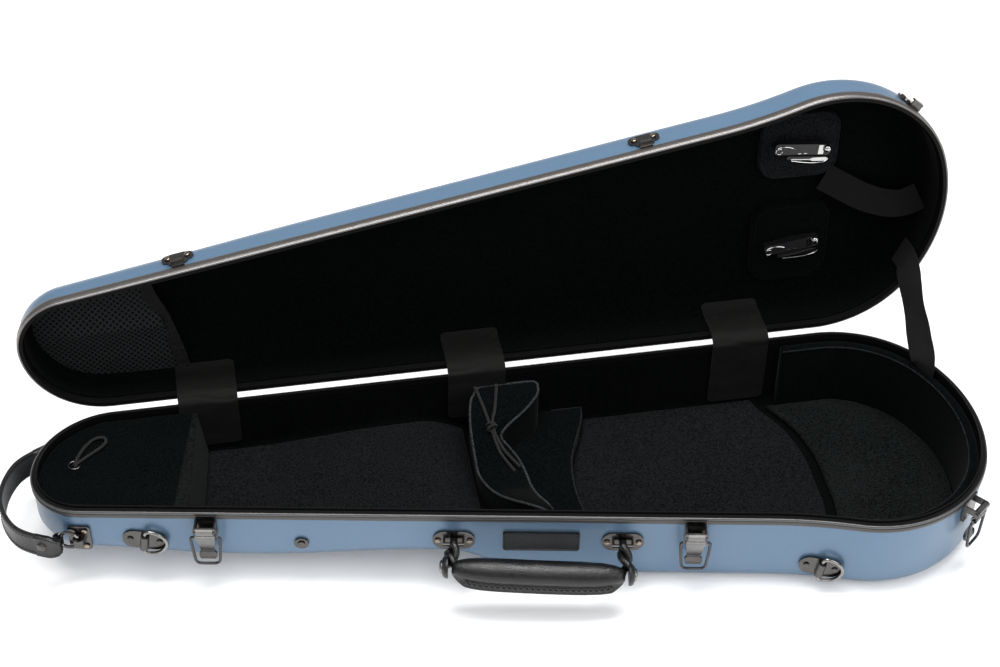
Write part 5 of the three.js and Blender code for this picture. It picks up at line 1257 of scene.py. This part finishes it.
def lid_ribbon():
    """Ribbon in a bow between the first bow pad and the end of the lid."""
    points = [in_lid((along * LENGTH, -across * WIDTH, up * LID_HEIGHT)) for along, across, up in RIBBON_SHARES]
    path = smoothed(points, 46)
    side = in_lid((0, -0.02, 0.007)) - in_lid((0, 0, 0))

    ripple = soft_waves(0.0007, 4, 2.5, 5.1)
    obj = tape("lid_ribbon_weave", path, side.normalized(), LOOP_WIDTH, CLOTH, RIBBON, "lid", 10, ripple,
               ("lid_ribbon",))
    length_of(path)


mouth = across_width(MOUTH, LENGTH)


def net_pocket():
    """Perforated net over the scroll end of the lid, with a gathered band along its mouth."""
    height = LID_HEIGHT - POCKET_DEPTH - ROOM_THICKNESS
    inset = ROOM_INSET + 0.0006
    front = min(crossings(inset, 0, 0.1))
    back = -inset - 0.0003
    rows, columns = 44, 30
    points = []
    for j in range(rows + 1):
        y = lerp(back, front - 0.0002, j / rows)
        left = min(crossings(inset, 1, y))
        right = max(left + 0.001, mouth(y) - 0.005)
        for k in range(columns + 1):
            u, v = k / columns, j / rows
            sag = 0.0026 * math.sin(math.pi * u) * math.sin(math.pi * v)
            near = max(0, 1 - abs(y - NET_RIDGE_AT) / NET_RIDGE_WIDTH)
            ridge = NET_RIDGE * near ** 1.5 * min(1, u * 3)
            dimple = 0.0007 * waves.noise(Vector((u * 6, v * 9, 2.2))) - ridge
            points.append(in_lid((lerp(left, right, u), y, height - sag + dimple)))
    obj = finish_mesh("net_pocket_mesh", points, strips(rows + 1, columns + 1, False, False), NET, "lid",
                      math.pi, ("net_pocket",))
    line = [lerp(back - 0.0004, front + 0.0009, j / 60) for j in range(61)]
    path = [in_lid((mouth(y) - 0.003, y, height - 0.0006)) for y in line]
    side = (in_lid((1, 0, 0)) - in_lid((0, 0, 0))).normalized()

    def ripple(t, s):
        gather = 0.0006 * math.sin(t * 150 + 3 * math.sin(t * 40)) * (1 - abs(s))
        return gather + 0.0008 * waves.noise(Vector((t * 9, s, 3.3)))

    band = tape("net_pocket_band", path, side, MOUTH_BAND, 0.0012, BAND, "lid", 6, ripple)


# Cords

CORD_RADIUS = 0.0013
PULL_LOOP = 0.026
EYELET = (0.0446 * LENGTH, -0.233 * WIDTH)
EYELET_RADIUS = 0.0046
PULL_SHARES = [(0.01, 0.02), (0.1, 0.24), (0.3, 0.62), (0.62, 0.98), (0.92, 1.02), (1.02, 0.84), (0.86, 0.6),
               (0.55, 0.36), (0.22, 0.12), (0.05, -0.04)]
LEFT_STRAND = [(0.136, 0.051), (0.182, 0.136), (0.235, 0.213), (0.303, 0.297), (0.439, 0.39)]
RIGHT_STRAND = [(0.409, 0.051), (0.333, 0.144), (0.262, 0.213), (0.348, 0.288), (0.515, 0.373)]
KNOT = (0.248, 0.215)


def free_cord(name, path, body, replaces=()):
    """Limp round cord that lies along a path."""
    data = bpy.data.curves.new(name, "CURVE")
    data.dimensions = "3D"
    data.bevel_depth = CORD_RADIUS
    data.bevel_resolution = 3
    data.use_fill_caps = True
    line = data.splines.new("POLY")
    line.points.add(len(path) - 1)
    for point, place in zip(line.points, path):
        point.co = (*place, 1)
    line.use_smooth = True
    data.materials.append(CORD)
    obj = bpy.data.objects.new(name, data)
    bpy.context.scene.collection.objects.link(obj)
    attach(obj, body)
    if replaces:
        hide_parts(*replaces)
    tuple(path[0])
    length_of(path)


def cords():
    """Pull loop of the flap with its eyelet, and the two strands and knot that tie the violin's neck."""
    up = FLAP_TOP + 0.0003 + CORD_RADIUS
    ex, ey = EYELET
    route = [(ex + 0.0004, ey + 0.0006, FLAP_TOP - 0.0015)]
    for k, (right, back) in enumerate(PULL_SHARES):
        hump = 0.0012 * math.sin(math.pi * k / (len(PULL_SHARES) - 1))
        route.append((ex + right * PULL_LOOP, ey + back * PULL_LOOP, up + hump))
    route.append((ex + 0.0012, ey - 0.0022, FLAP_TOP - 0.0015))
    path = smoothed([in_base(p) for p in route], 40)
    free_cord("flap_pull_cord_braid", path, "flap", ("flap_pull_cord",))
    ring = [in_base((ex + EYELET_RADIUS * math.cos(a), ey + EYELET_RADIUS * math.sin(a), FLAP_TOP + 0.0005))
            for a in turns(28)]
    tube("flap_eyelet", ring, 0.0009, NICKEL, "flap", closed=True)

    def laid(run, across, lift):
        y = -across * WIDTH
        return in_base((CRADLE_X + run * CRADLE_RUN, y, saddle_top(y) + CORD_RADIUS + 0.0012 + lift))

    paths = []
    for name, shares, lift in (("neck_tie_cord_left", LEFT_STRAND, 0.0),
                               ("neck_tie_cord_right", RIGHT_STRAND, 0.0008)):
        first = laid(*shares[0], 0)
        start = Vector((first.x, first.y + 0.0035, first.z - 0.003))
        lying = [laid(*share, lift + (0.0012 if k == 2 else 0)) for k, share in enumerate(shares)]
        paths.append((name, smoothed([start, *lying], 40)))
    knot_at = laid(*KNOT, 0.0022)
    knots = []
    for tilt, shift in ((0.35, -0.0016), (-0.3, 0.0014)):
        line = [knot_at + Vector((0.0036 * math.cos(a), shift + tilt * 0.004 * math.cos(a), 0.0029 * math.sin(a)))
                for a in turns(22)]
        knots.append(tube(f"neck_tie_knot_{len(knots) + 1}", line, CORD_RADIUS, CORD, "base", closed=True))
    for k, (name, path) in enumerate(paths):
        free_cord(name, path, "base", () if k else ("neck_tie_cord",))


# Leather

HANDLE_SHARE = 0.507
HANDLE_DROP = 0.028
HANDLE_SPAN = 0.136
GRIP_RADIUS = 0.012
GRIP_OUT = 0.0295
GRIP_DROP = 0.037
BRIDGE_OUT = 0.0052
END_PLATE_DROP = 0.03
END_FRONT_ANGLE = math.radians(-103)
END_BACK_ANGLE = math.radians(113)
END_RING_RADIUS = 0.0085
END_RING_OUT = 0.0034
BAND_HEIGHT = 0.022
BAND_WALL = 0.0036
BAND_REACH = 0.027
BAND_SHARES = [(-120, 0.56), (-150, 0.9), (180, 1), (150, 0.95), (125, 0.72)]
BAND_END_HEIGHT = 0.0075
GRIP_LIFT = 0.0045
GRIP_SLOPE = 0.045
GRIP_ROUND = GRIP_RADIUS * 0.93
GRIP_BOW = 0.0016
GRIP_FLANGE = 0.0058
STRAP_RADIUS = 0.0031
STRAP_RISE = 0.0022
STITCHES = 30
STITCH_RADIUS = 0.0005
BAND_STITCH_RADIUS = 0.0003
SEAM_ANGLE = math.radians(-52)


def twisted_strap(wall, centre, side, up):
    """Path of a leather strap round the anchor's bar, its two runs twisted round each other."""
    start = Vector((centre, BRIDGE_OUT + 0.002, 0))
    end = Vector((centre + side * 0.0035, GRIP_OUT - 0.002, up + GRIP_LIFT - GRIP_SLOPE * centre))
    way = (end - start).normalized()
    across = Vector((1, 0, 0))
    rising = across.cross(way)
    runs = []
    for half_turn in (0, math.pi):
        run = []
        for k in range(14):
            t = k / 13
            a = half_turn + math.pi * 1.5 * t
            place = start.lerp(end, t) + (rising * math.cos(a) + across * math.sin(a)) * (0.003 + 0.0014 * t * t)
            run.append(wall(*place))
        runs.append(run)
    half = math.copysign(STRAP_RISE, rising.z)
    loop = [wall(centre, BRIDGE_OUT - back, rise) for back, rise in ((0.0018, half), (0.0029, 0), (0.0018, -half))]
    return smoothed(runs[0][::-1] + loop + runs[1], 70)


def handle_grip():
    """Rolled leather grip with a stitched flange along its lower front, and the straps that hold it."""
    still = on_wall(front_at(HANDLE_SHARE * LENGTH), -HANDLE_DROP)
    up = HANDLE_DROP - GRIP_DROP
    half = HANDLE_SPAN / 2 + 0.001

    def wall(x, out, rise):
        return still(x, out, rise + GRIP_LIFT - GRIP_SLOPE * x)

    rows, sides = 56, 36
    points = []

    def girth(t):
        return 0.36 + 0.6 * (1 - abs(t) ** 5.5) ** 0.75

    for j in range(rows + 1):
        t = math.sin((j / rows - 0.5) * math.pi)
        bow = GRIP_BOW * (1 - t * t)
        flange = GRIP_FLANGE * min(1, (1 - abs(t)) * 7) ** 0.8
        for a in turns(sides):
            off = (a - SEAM_ANGLE + math.pi) % (2 * math.pi) - math.pi
            ridge = flange * math.exp(-(off / 0.17) ** 2)
            pinch = 1 - 0.07 * math.exp(-((abs(off) - 0.42) / 0.16) ** 2)
            soft = 1 + 0.012 * waves.noise(Vector((t * 9, math.cos(a) * 1.5, math.sin(a) * 1.5)))
            r = GRIP_ROUND * girth(t) * pinch * soft + ridge
            points.append(wall(t * half, GRIP_OUT + bow + r * math.cos(a), up + r * math.sin(a)))
    faces = strips(rows + 1, sides, False) + caps(rows + 1, sides)
    finish_mesh("handle_roll", points, faces, LEATHER, "handle", math.radians(60), ("handle_grip",))
    stitches = []
    for k in range(STITCHES):
        t = (k + 0.5) / STITCHES * 2 - 1
        if abs(t) > 0.86:
            continue
        out = GRIP_OUT + GRIP_BOW * (1 - t * t)
        for lean in (-1, 1):
            line = []
            for step in range(5):
                way = step / 4 * 2 - 1
                turn = SEAM_ANGLE + 0.3 - 0.13 * way
                r = GRIP_ROUND * girth(t) + 0.0007 + 0.0022 * eased(step / 4, 0, 1)
                line.append(wall(t * half + lean * way * 0.0019, out + r * math.cos(turn), up + r * math.sin(turn)))
            stitches.append(thread(line, STITCH_RADIUS))
    merged("handle_stitches", stitches, THREAD, "handle")
    parts, studs = [], []
    for number, side in ((1, -1), (2, 1)):
        centre = side * HANDLE_SPAN / 2
        strap = twisted_strap(still, centre, side, up)
        tube(f"handle_strap_{number}", strap, STRAP_RADIUS, LEATHER, "handle", sides=10)
        outer = centre + side * 0.0085

        def cheek(x, out, rise, outer=outer, side=side):
            return wall(outer + side * out, GRIP_OUT - 0.001 + x, up + 0.0005 + rise)
        parts.append(dome(cheek, 0, -0.0045, 0, 0.0094, 0.0052, 22))
        studs.append(dome(cheek, 0, 0.0003, 0, 0.0056, 0.0022, 18))
    merged("handle_end_cheeks", parts, LEATHER, "handle", 60)
    merged("handle_studs", studs, STEEL, "handle")


def thread(line, radius, sides=6):
    """Points and faces of a short bent thread."""
    points = []
    ways = tangents(line)
    for p, way in zip(line, ways):
        side = way.cross(Vector((0.3, 0.2, 1))).normalized()
        up = way.cross(side)
        points += [p + (side * math.cos(a) + up * math.sin(a)) * radius for a in turns(sides)]
    return points, strips(len(line), sides, False) + caps(len(line), sides)


def outward(way):
    """Level direction across a way."""
    return Vector((-way.y, way.x, 0)).normalized()


def end_handle():
    """Leather band round the scroll end, doubled and stitched, looped through a ring at each end."""
    front, back = END_SPOTS
    far = END_RING_RADIUS * 2
    start = on_wall(front, -END_PLATE_DROP)(-far, END_RING_OUT, 0)
    end = on_wall(back, -END_PLATE_DROP)(far, END_RING_OUT, 0)
    route = []
    for degrees, out in BAND_SHARES:
        spot = around(scroll_tip, SCROLL_TIP_RADIUS + out * BAND_REACH, math.radians(degrees))
        route.append(in_base((spot.x, spot.y, -END_PLATE_DROP)))
    path = smoothed([start, *route, end], 110)
    ways = tangents(path)
    section = [(-0.5, -0.5), (-0.5, 0.5), (-0.46, 0.62), (-0.4, 0.5), (-0.3, 0.42), (0, 0.4), (0.3, 0.42), (0.4, 0.5),
               (0.46, 0.62), (0.5, 0.5), (0.5, -0.5), (0.46, -0.62), (0.4, -0.5), (0, -0.42), (-0.4, -0.5),
               (-0.46, -0.62)]
    points, last = [], len(path) - 1

    def height_of(k):
        return lerp(BAND_END_HEIGHT, BAND_HEIGHT, eased(min(k, last - k) / last, 0.0, 0.1))

    for k, (p, way) in enumerate(zip(path, ways)):
        wall = BAND_WALL * (1.35 if min(k, last - k) / last < 0.16 else 1.0) * 0.9
        for h, w in section:
            points.append(p + Vector((0, 0, h * height_of(k))) + outward(way) * (w * wall))
    size = len(section)
    faces = strips(last + 1, size, False) + caps(last + 1, size)
    finish_mesh("end_handle_band", points, faces, LEATHER, "base", math.radians(60), ("end_handle",))
    for number, centre, way in ((1, start, ways[0]), (2, end, -ways[-1])):
        angles = [math.radians(-120 + 240 * k / 12) + math.pi for k in range(13)]
        line = [centre + (way * math.cos(a) + outward(way) * math.sin(a)) * 0.0034 for a in angles]
        tape(f"end_handle_loop_{number}", line, Vector((0, 0, 1)), BAND_END_HEIGHT, 0.0016, LEATHER, "base",
             4)
    stitches = []
    for side in (-1, 1):
        for k in range(4, last - 4, 2):
            out = outward(ways[k])
            centre = path[k] + Vector((0, 0, side * 0.38 * height_of(k))) + out * (BAND_WALL * 0.5)
            line = [centre - ways[k] * 0.001, centre + out * 0.0002, centre + ways[k] * 0.001]
            stitches.append(thread(line, BAND_STITCH_RADIUS))
    merged("end_handle_stitches", stitches, THREAD, "base")
    spot = round(last * 0.125)
    out = outward(ways[spot])

    def face(x, o, rise):
        return path[spot] + ways[spot] * x + out * (BAND_WALL * 0.6 + o) + Vector((0, 0, rise))
    merged("end_handle_stud", [dome(face, 0, -0.0006, 0, 0.0042, 0.0018, 18)], NICKEL, "base")


# Small heads and trim

PLATE_FACE = SHELL_SEAT + PLATE
HEAD_SEAT = PLATE_FACE + 0.0006
HEAD = (0.0025, 0.0011)
END_SPOTS = (arc_point(scroll_tip, SCROLL_TIP_RADIUS, END_FRONT_ANGLE),
             arc_point(scroll_back, SCROLL_BACK_RADIUS, END_BACK_ANGLE))
RING_SHARES = [(0.1102, 0.032), (0.7943, 0.052)]
RING_TILT = math.radians(8)
RING_REACH = 0.018
RING_HALF = 0.011
RING_OUT = 0.0029
RING_WIRE = 0.0016
BAIL_OUT = 0.01
BAIL_DROP = 0.0172
BAIL_WIRE = 0.00125
ANCHOR_RIVET = 0.0128
END_RIVET = (0.00458, 0.00858)
RING_RIVET = 0.01176
KEEPER_RIVET = (0.00805, 0.02125)
BADGE_SHARE = 0.51
BADGE_DROP = 0.0285
PATCH_X = 0.2045
PATCH_STEP = 0.0024
PATCH_RIBS = 8
RIB_RADIUS = 0.0009
LATCH_SHARES = (0.174, 0.664)
END_LATCH_ANGLE = math.radians(-50)
LATCH_SPOTS = [*(front_at(share * LENGTH) for share in LATCH_SHARES),
               arc_point(front_corner, FRONT_CORNER_RADIUS, END_LATCH_ANGLE)]
CLIP_X = 0.6635
CLIP_UP = 0.0404
CLIP_FACE = -9.4
CLIP_TURNS = [(0.7034, math.radians(-5.7)), (0.2839, math.radians(7.4))]


def slab(at, outline, low, high):
    """Points and faces of a flat piece between two levels."""
    points = [at(x, y, z) for z in (low, high) for x, y in outline]
    return points, strips(2, len(outline), False) + caps(2, len(outline))


def bow_clips():
    """Turning bow clips: a black body with a bright spring, catch, blade and knob."""
    for k, (across, turn) in enumerate(CLIP_TURNS, 1):
        def at(x, y, z, across=across, turn=turn):
            c, s = math.cos(turn), math.sin(turn)
            return in_lid((CLIP_X + (x * c + y * s) * MM, -across * WIDTH + (y * c - x * s) * MM, CLIP_UP + z * MM))

        def bar(left, right, low, high, bottom, top, at=at):
            return slab(at, [(left, low), (right, low), (right, high), (left, high)], bottom, top)

        body = [(x * 1000 - 1, y * 1000 - 2.5) for x, y in rounded_outline(0.0245, 0.0052, 0.003, 4)]
        foot = [(x * 1000, y * 1000) for x, y in rounded_outline(0.016, 0.0062, 0.002, 3)]
        dark = [slab(at, foot, -0.4, -3.4), slab(at, body, -3.4, CLIP_FACE), bar(-14, 18, 3.4, 6.2, -2.5, -11)]
        case = merged(f"bow_clip_body_{k}", dark, PLASTIC, f"spinner_{k}")
        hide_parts(f"bow_spinner_clip_{k}")
        blade = [(-10.5, 5.6), (6, 5.6), (9, 4.3), (20, 3.8), (22.3, 5.6), (21, 7.4), (9, 7.6), (6, 6.5), (-10.5, 6.6)]
        bright = [bar(12.5, 17.2, -7.2, 1.6, CLIP_FACE, -10), slab(at, blade, -10.4, -11.2)]
        for x, y in ((-3.4, 1.2), (1.6, 0.9)):
            catch = [(x - 1.4, y - 0.3), (x + 1.4, y - 0.5), (x + 1.4, y + 0.2), (x - 1.4, y + 0.4)]
            bright.append(slab(at, catch, -9.3, -9.9))
        spring = [(-24.6, 0.6, -9.8), (-24.2, -3, -9.9), (-21, -5, -10), (-16, -5.4, -10), (-11, -4.4, -9.9),
                  (-7.6, -2.6, -9.7)]
        bright.append(thread(smoothed([at(*p) for p in spring], 24), 0.00045))
        sweep = [(-10, 7.6, -11), (0, 8.8, -11.2), (10, 9.4, -11.2), (18.5, 8.4, -11.1), (21.5, 6.6, -11)]
        bright.append(thread(smoothed([at(*p) for p in sweep], 20), 0.0004))

        def knob(x, rise, y, at=at):
            return at(x * 1000, y * 1000, CLIP_FACE - rise * 1000)
        bright.append(dome(knob, 0.0198, 0, -0.0042, 0.0037, 0.0036, 18))
        ring = [at(-21.6 + 2.6 * math.cos(a), -0.6 + 2.6 * math.sin(a), -9.6) for a in (*turns(20), 2 * math.pi)]
        bright.append(thread(ring, 0.0004))
        merged(f"bow_clip_chrome_{k}", bright, CHROME, f"spinner_{k}")


def bail_wires():
    """Wire bails: a rounded frame with its ends turned into the lever."""
    half = [(0.0062, 0), (0.0094, 0.0), (0.0111, 0.0006), (0.0117, 0.0026), (0.0116, 0.006), (0.0112, 0.012),
            (0.0107, 0.018), (0.0101, 0.0245), (0.0094, 0.0282), (0.0075, 0.0302), (0.004, 0.0307), (0, 0.0307)]
    line = half + [(-x, down) for x, down in half[-2::-1]]
    for k, spot in enumerate(LATCH_SPOTS, 1):
        wall = on_wall(spot, 0)
        path = smoothed([wall(x, BAIL_OUT, -BAIL_DROP - down) for x, down in line], 60)
        tube(f"bail_wire_{k}", path, BAIL_WIRE, BAIL, f"bail_{k}", False, 10, (f"latch_bail_{k}",))


def ring_wall(share, drop):
    """Frame on the wall behind a strap ring, and how far the wall's swell lifts the ring's plate."""
    point, normal = front_at(share * LENGTH)
    ends = [front_at(point.x - normal.y * run)[0] for run in (-RING_REACH, RING_REACH)]
    return on_wall((point, normal), -drop), max(0, *((end - point).dot(normal) for end in ends)) * 2


def tilted(x, z):
    """Place in a ring's plate, which leans a little."""
    c, s = math.cos(RING_TILT), math.sin(RING_TILT)
    return x * c + z * s, z * c - x * s


def ring_wires():
    """D-shaped strap rings, flat side in the bridge of the plate."""
    shares = [(0, -0.6), (0, 0), (0, 0.6), (0.03, 0.98), (0.16, 1.13), (0.38, 1.08), (0.62, 0.93), (0.82, 0.68),
              (0.95, 0.36), (1, 0)]
    loop = shares + [(out, -up) for out, up in shares[-2:2:-1]]
    for k, (share, drop) in enumerate(RING_SHARES, 1):
        wall, seat = ring_wall(share, drop)
        path = []
        for x, z in loop:
            x, z = tilted(x * RING_REACH, z * RING_HALF)
            path.append(wall(x, RING_OUT + seat, z))
        tube(f"ring_wire_{k}", smoothed(path, 72, True), RING_WIRE, STEEL, f"ring_{k}", True, 10,
             (f"strap_ring_{k}",))


def rivets():
    """Domed heads over the rivets of the fittings."""
    heads = []
    wall = on_wall(front_at(HANDLE_SHARE * LENGTH), -HANDLE_DROP)
    for side in (-1, 1):
        for off in (-ANCHOR_RIVET, ANCHOR_RIVET):
            heads.append(dome(wall, side * HANDLE_SPAN / 2 + off, HEAD_SEAT, 0, *HEAD))
    for spot in END_SPOTS:
        wall = on_wall(spot, -END_PLATE_DROP)
        for side in (-1, 1):
            heads.append(dome(wall, END_RIVET[0], HEAD_SEAT, side * END_RIVET[1], *HEAD))
    merged("base_rivet_heads", heads, BRASS, "base")
    heads = []
    for share, drop in RING_SHARES:
        wall, seat = ring_wall(share, drop)
        for off in (-RING_RIVET, RING_RIVET):
            x, z = tilted(off, 0)
            heads.append(dome(wall, x, HEAD_SEAT + seat, z, 0.0024, 0.001))
    merged("ring_rivet_heads", heads, NICKEL, "base")
    heads = []
    for spot in LATCH_SPOTS:
        wall = on_wall(spot, 0, in_lid)
        for side in (-1, 1):
            heads.append(dome(wall, side * KEEPER_RIVET[0], HEAD_SEAT, KEEPER_RIVET[1], *HEAD))
    merged("keeper_rivet_heads", heads, BRASS, "lid")


def badge_face():
    """Blank inlay in the badge plate, sunk in a narrow polished border."""
    wall = on_wall(front_at(BADGE_SHARE * LENGTH), -BADGE_DROP)
    out = SHELL_SEAT + 0.0012
    rows = [(0.031, 0.0105, 0.0026, -0.0003), (0.0309, 0.0104, 0.0026, 0.0005), (0.0305, 0.01, 0.0024, 0.0008),
            (0.0297, 0.0092, 0.0018, 0.0008), (0.0293, 0.0088, 0.0016, 0.0003), (0.015, 0.004, 0.001, 0.0003)]
    points, size = [], 0
    for half_x, half_y, corner, lift in rows:
        loop = rounded_outline(half_x, half_y, corner, 4)
        size = len(loop)
        points += [wall(x, out + lift, y) for x, y in loop]
    faces = strips(len(rows), size, False) + caps(len(rows), size)
    finish_mesh("badge_inlay", points, faces, INLAY, "base", math.radians(30))


def ribbed_patch():
    """Small ribbed rubber patch on the front wall of the neck."""
    parts = []
    for k in range(PATCH_RIBS):
        point, normal = front_at(PATCH_X + PATCH_STEP * k)
        line = []
        for proud, up in ((-0.0002, -0.0022), (0.0008, -0.0026), (0.0009, -0.0125), (-0.0002, -0.013)):
            p = point - normal * (ROOM_INSET + proud)
            line.append(in_base((p.x, p.y, up)))
        parts.append(thread(line, RIB_RADIUS))
    merged("neck_wall_ribs", parts, SEAL, "base", 60)


# Fittings kept as the solids of the frame

def metal_node(node_name, material, width=0.00025, angle=50):
    """Solid of the frame with rounded edges and its finish."""
    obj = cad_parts[node_name]
    obj.data.materials.clear()
    obj.data.materials.append(material)
    obj.data.shade_smooth()
    obj.data.set_sharp_from_angle(angle=math.radians(angle))
    if width:
        edges = obj.modifiers.new("edges", "BEVEL")
        edges.width = width
        edges.segments = 2
        edges.limit_method = "ANGLE"
        edges.angle_limit = math.radians(40)
        edges.harden_normals = False
        edges.use_clamp_overlap = True


TAB_HEIGHT = 0.0118


def dark_end(node_name, material):
    """Second finish on the thumb tab at the lower end of a lever."""
    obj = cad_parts[node_name]
    mesh = obj.data
    mesh.materials.append(material)
    heights = [(obj.matrix_world @ v.co).z for v in mesh.vertices]
    limit = min(heights) + TAB_HEIGHT
    for face in mesh.polygons:
        if max(heights[v] for v in face.vertices) < limit:
            face.material_index = 1


def hardware():
    """Finishes of the solids that show as they are."""
    for count, names in ((3, {"latch_plate": NICKEL, "latch_lever": LEVER, "latch_keeper": KEEPER,
                              "hinge_base_leaf": NICKEL, "hinge_lid_leaf": NICKEL}),
                         (2, {"handle_anchor": NICKEL, "ring_plate": NICKEL, "bow_spinner_base": PLASTIC})):
        for k in range(1, count + 1):
            for name, material in names.items():
                metal_node(f"{name}_{k}", material)
    for k in (1, 2, 3):
        dark_end(f"latch_lever_{k}", NICKEL)
    for name in ("end_plate_front", "end_plate_back", "stud_washer"):
        metal_node(name, NICKEL)
    metal_node("end_ring", STEEL, 0, 80)
    metal_node("badge_plate", NICKEL, 0.0004)


cushions = base_pads()
cushions.append(side_cushion())
plumped(cushions, PLUMP)
divider_and_flap()
bow_pads()
hinge_covers()
lid_stay()
lid_ribbon()
net_pocket()
cords()
handle_grip()
end_handle()
bow_clips()
bail_wires()
ring_wires()
rivets()
badge_face()
ribbed_patch()
hardware()


# Camera at the photograph's place, floor and light

CAMERA_AT = (0.1692, -1.2188, 1.1330)
CAMERA_AZIMUTH = math.radians(-10.621)
CAMERA_ELEVATION = math.radians(41.417)
CAMERA_ROLL = math.radians(0.796)
CAMERA_LENS = 70.09
SENSOR = 36
FLOOR_REACH = 30.0
FLOOR_GAP = 0.0005
FLOOR_LIFT = (0.14, 0.8)
LIFT_FROM, LIFT_TO = 1.2, 4.0
PLAIN_LIGHT = 0.42
WHITE = (1, 1, 1, 1)


def camera():
    """Camera of the photograph, placed in the frame of the case."""
    az, el, roll = CAMERA_AZIMUTH, CAMERA_ELEVATION, CAMERA_ROLL
    back = Vector((math.sin(az) * math.cos(el), -math.cos(az) * math.cos(el), math.sin(el)))
    right = Vector((math.cos(az), math.sin(az), 0))
    up = back.cross(right)
    side = right * math.cos(roll) + up * math.sin(roll)
    top = up * math.cos(roll) - right * math.sin(roll)
    data = bpy.data.cameras.new("camera")
    data.lens = CAMERA_LENS
    data.sensor_width = SENSOR
    obj = bpy.data.objects.new("camera", data)
    turn = Matrix((side, top, back)).transposed().to_4x4()
    obj.matrix_world = Matrix.Translation(in_base(CAMERA_AT)) @ turn
    bpy.context.scene.collection.objects.link(obj)
    bpy.context.scene.camera = obj


def area_light(name, place, target, size, power, size_y=None):
    """Soft rectangular light that looks at a target."""
    data = bpy.data.lights.new(name, "AREA")
    data.shape = "RECTANGLE"
    data.size = size
    data.size_y = size_y or size
    data.energy = power
    obj = bpy.data.objects.new(name, data)
    way = Vector(place) - Vector(target)
    obj.matrix_world = Matrix.Translation(place) @ way.to_track_quat("Z", "Y").to_matrix().to_4x4()
    bpy.context.scene.collection.objects.link(obj)


def seen_rays(material_tree):
    return material_tree.nodes.new("ShaderNodeLightPath").outputs["Is Camera Ray"]


def stage():
    """Pale floor that keeps the shadow, and a world that is white to the camera."""
    material = new_material("floor_white", (0.95, 0.95, 0.95, 1), 0.85, Emission_Color=WHITE)
    away = node(material, "ShaderNodeVectorMath", {0: object_place(material)}, operation="LENGTH").outputs["Value"]
    lift = ramp(material, away, *FLOOR_LIFT, LIFT_FROM, LIFT_TO)
    connect(material, combined(material, "MULTIPLY", seen_rays(material.node_tree), lift), "Emission Strength")
    mesh = bpy.data.meshes.new("floor")
    corners = [(x * FLOOR_REACH, y * FLOOR_REACH, 0) for x, y in ((-1, -1), (1, -1), (1, 1), (-1, 1))]
    mesh.from_pydata(corners, [], [(0, 1, 2, 3)])
    mesh.materials.append(material)
    floor = bpy.data.objects.new("floor", mesh)
    floor.location.z = -FLOOR_GAP
    bpy.context.scene.collection.objects.link(floor)
    world = bpy.data.worlds.new("studio")
    bpy.context.scene.world = world
    world.use_nodes = True
    nodes, links = world.node_tree.nodes, world.node_tree.links
    mix = nodes.new("ShaderNodeMixShader")
    links.new(seen_rays(world.node_tree), mix.inputs[0])
    shaders = ((1, nodes["Background"], PLAIN_LIGHT), (2, nodes.new("ShaderNodeBackground"), 1.0))
    for slot, shader, strength in shaders:
        shader.inputs["Color"].default_value = WHITE
        shader.inputs["Strength"].default_value = strength
        links.new(shader.outputs[0], mix.inputs[slot])
    links.new(mix.outputs[0], nodes["World Output"].inputs["Surface"])


camera()
stage()
area_light("key", (-0.4, -0.9, 1.9), (0, 0, 0), 1.6, 16)
area_light("fill", (1.4, -1.2, 1.2), (0, 0, 0.1), 1.2, 10)
area_light("top", (0, 0.12, 2.3), (0, 0, 0), 2.0, 54, 0.55)
bpy.context.scene.view_settings.view_transform = "Standard"
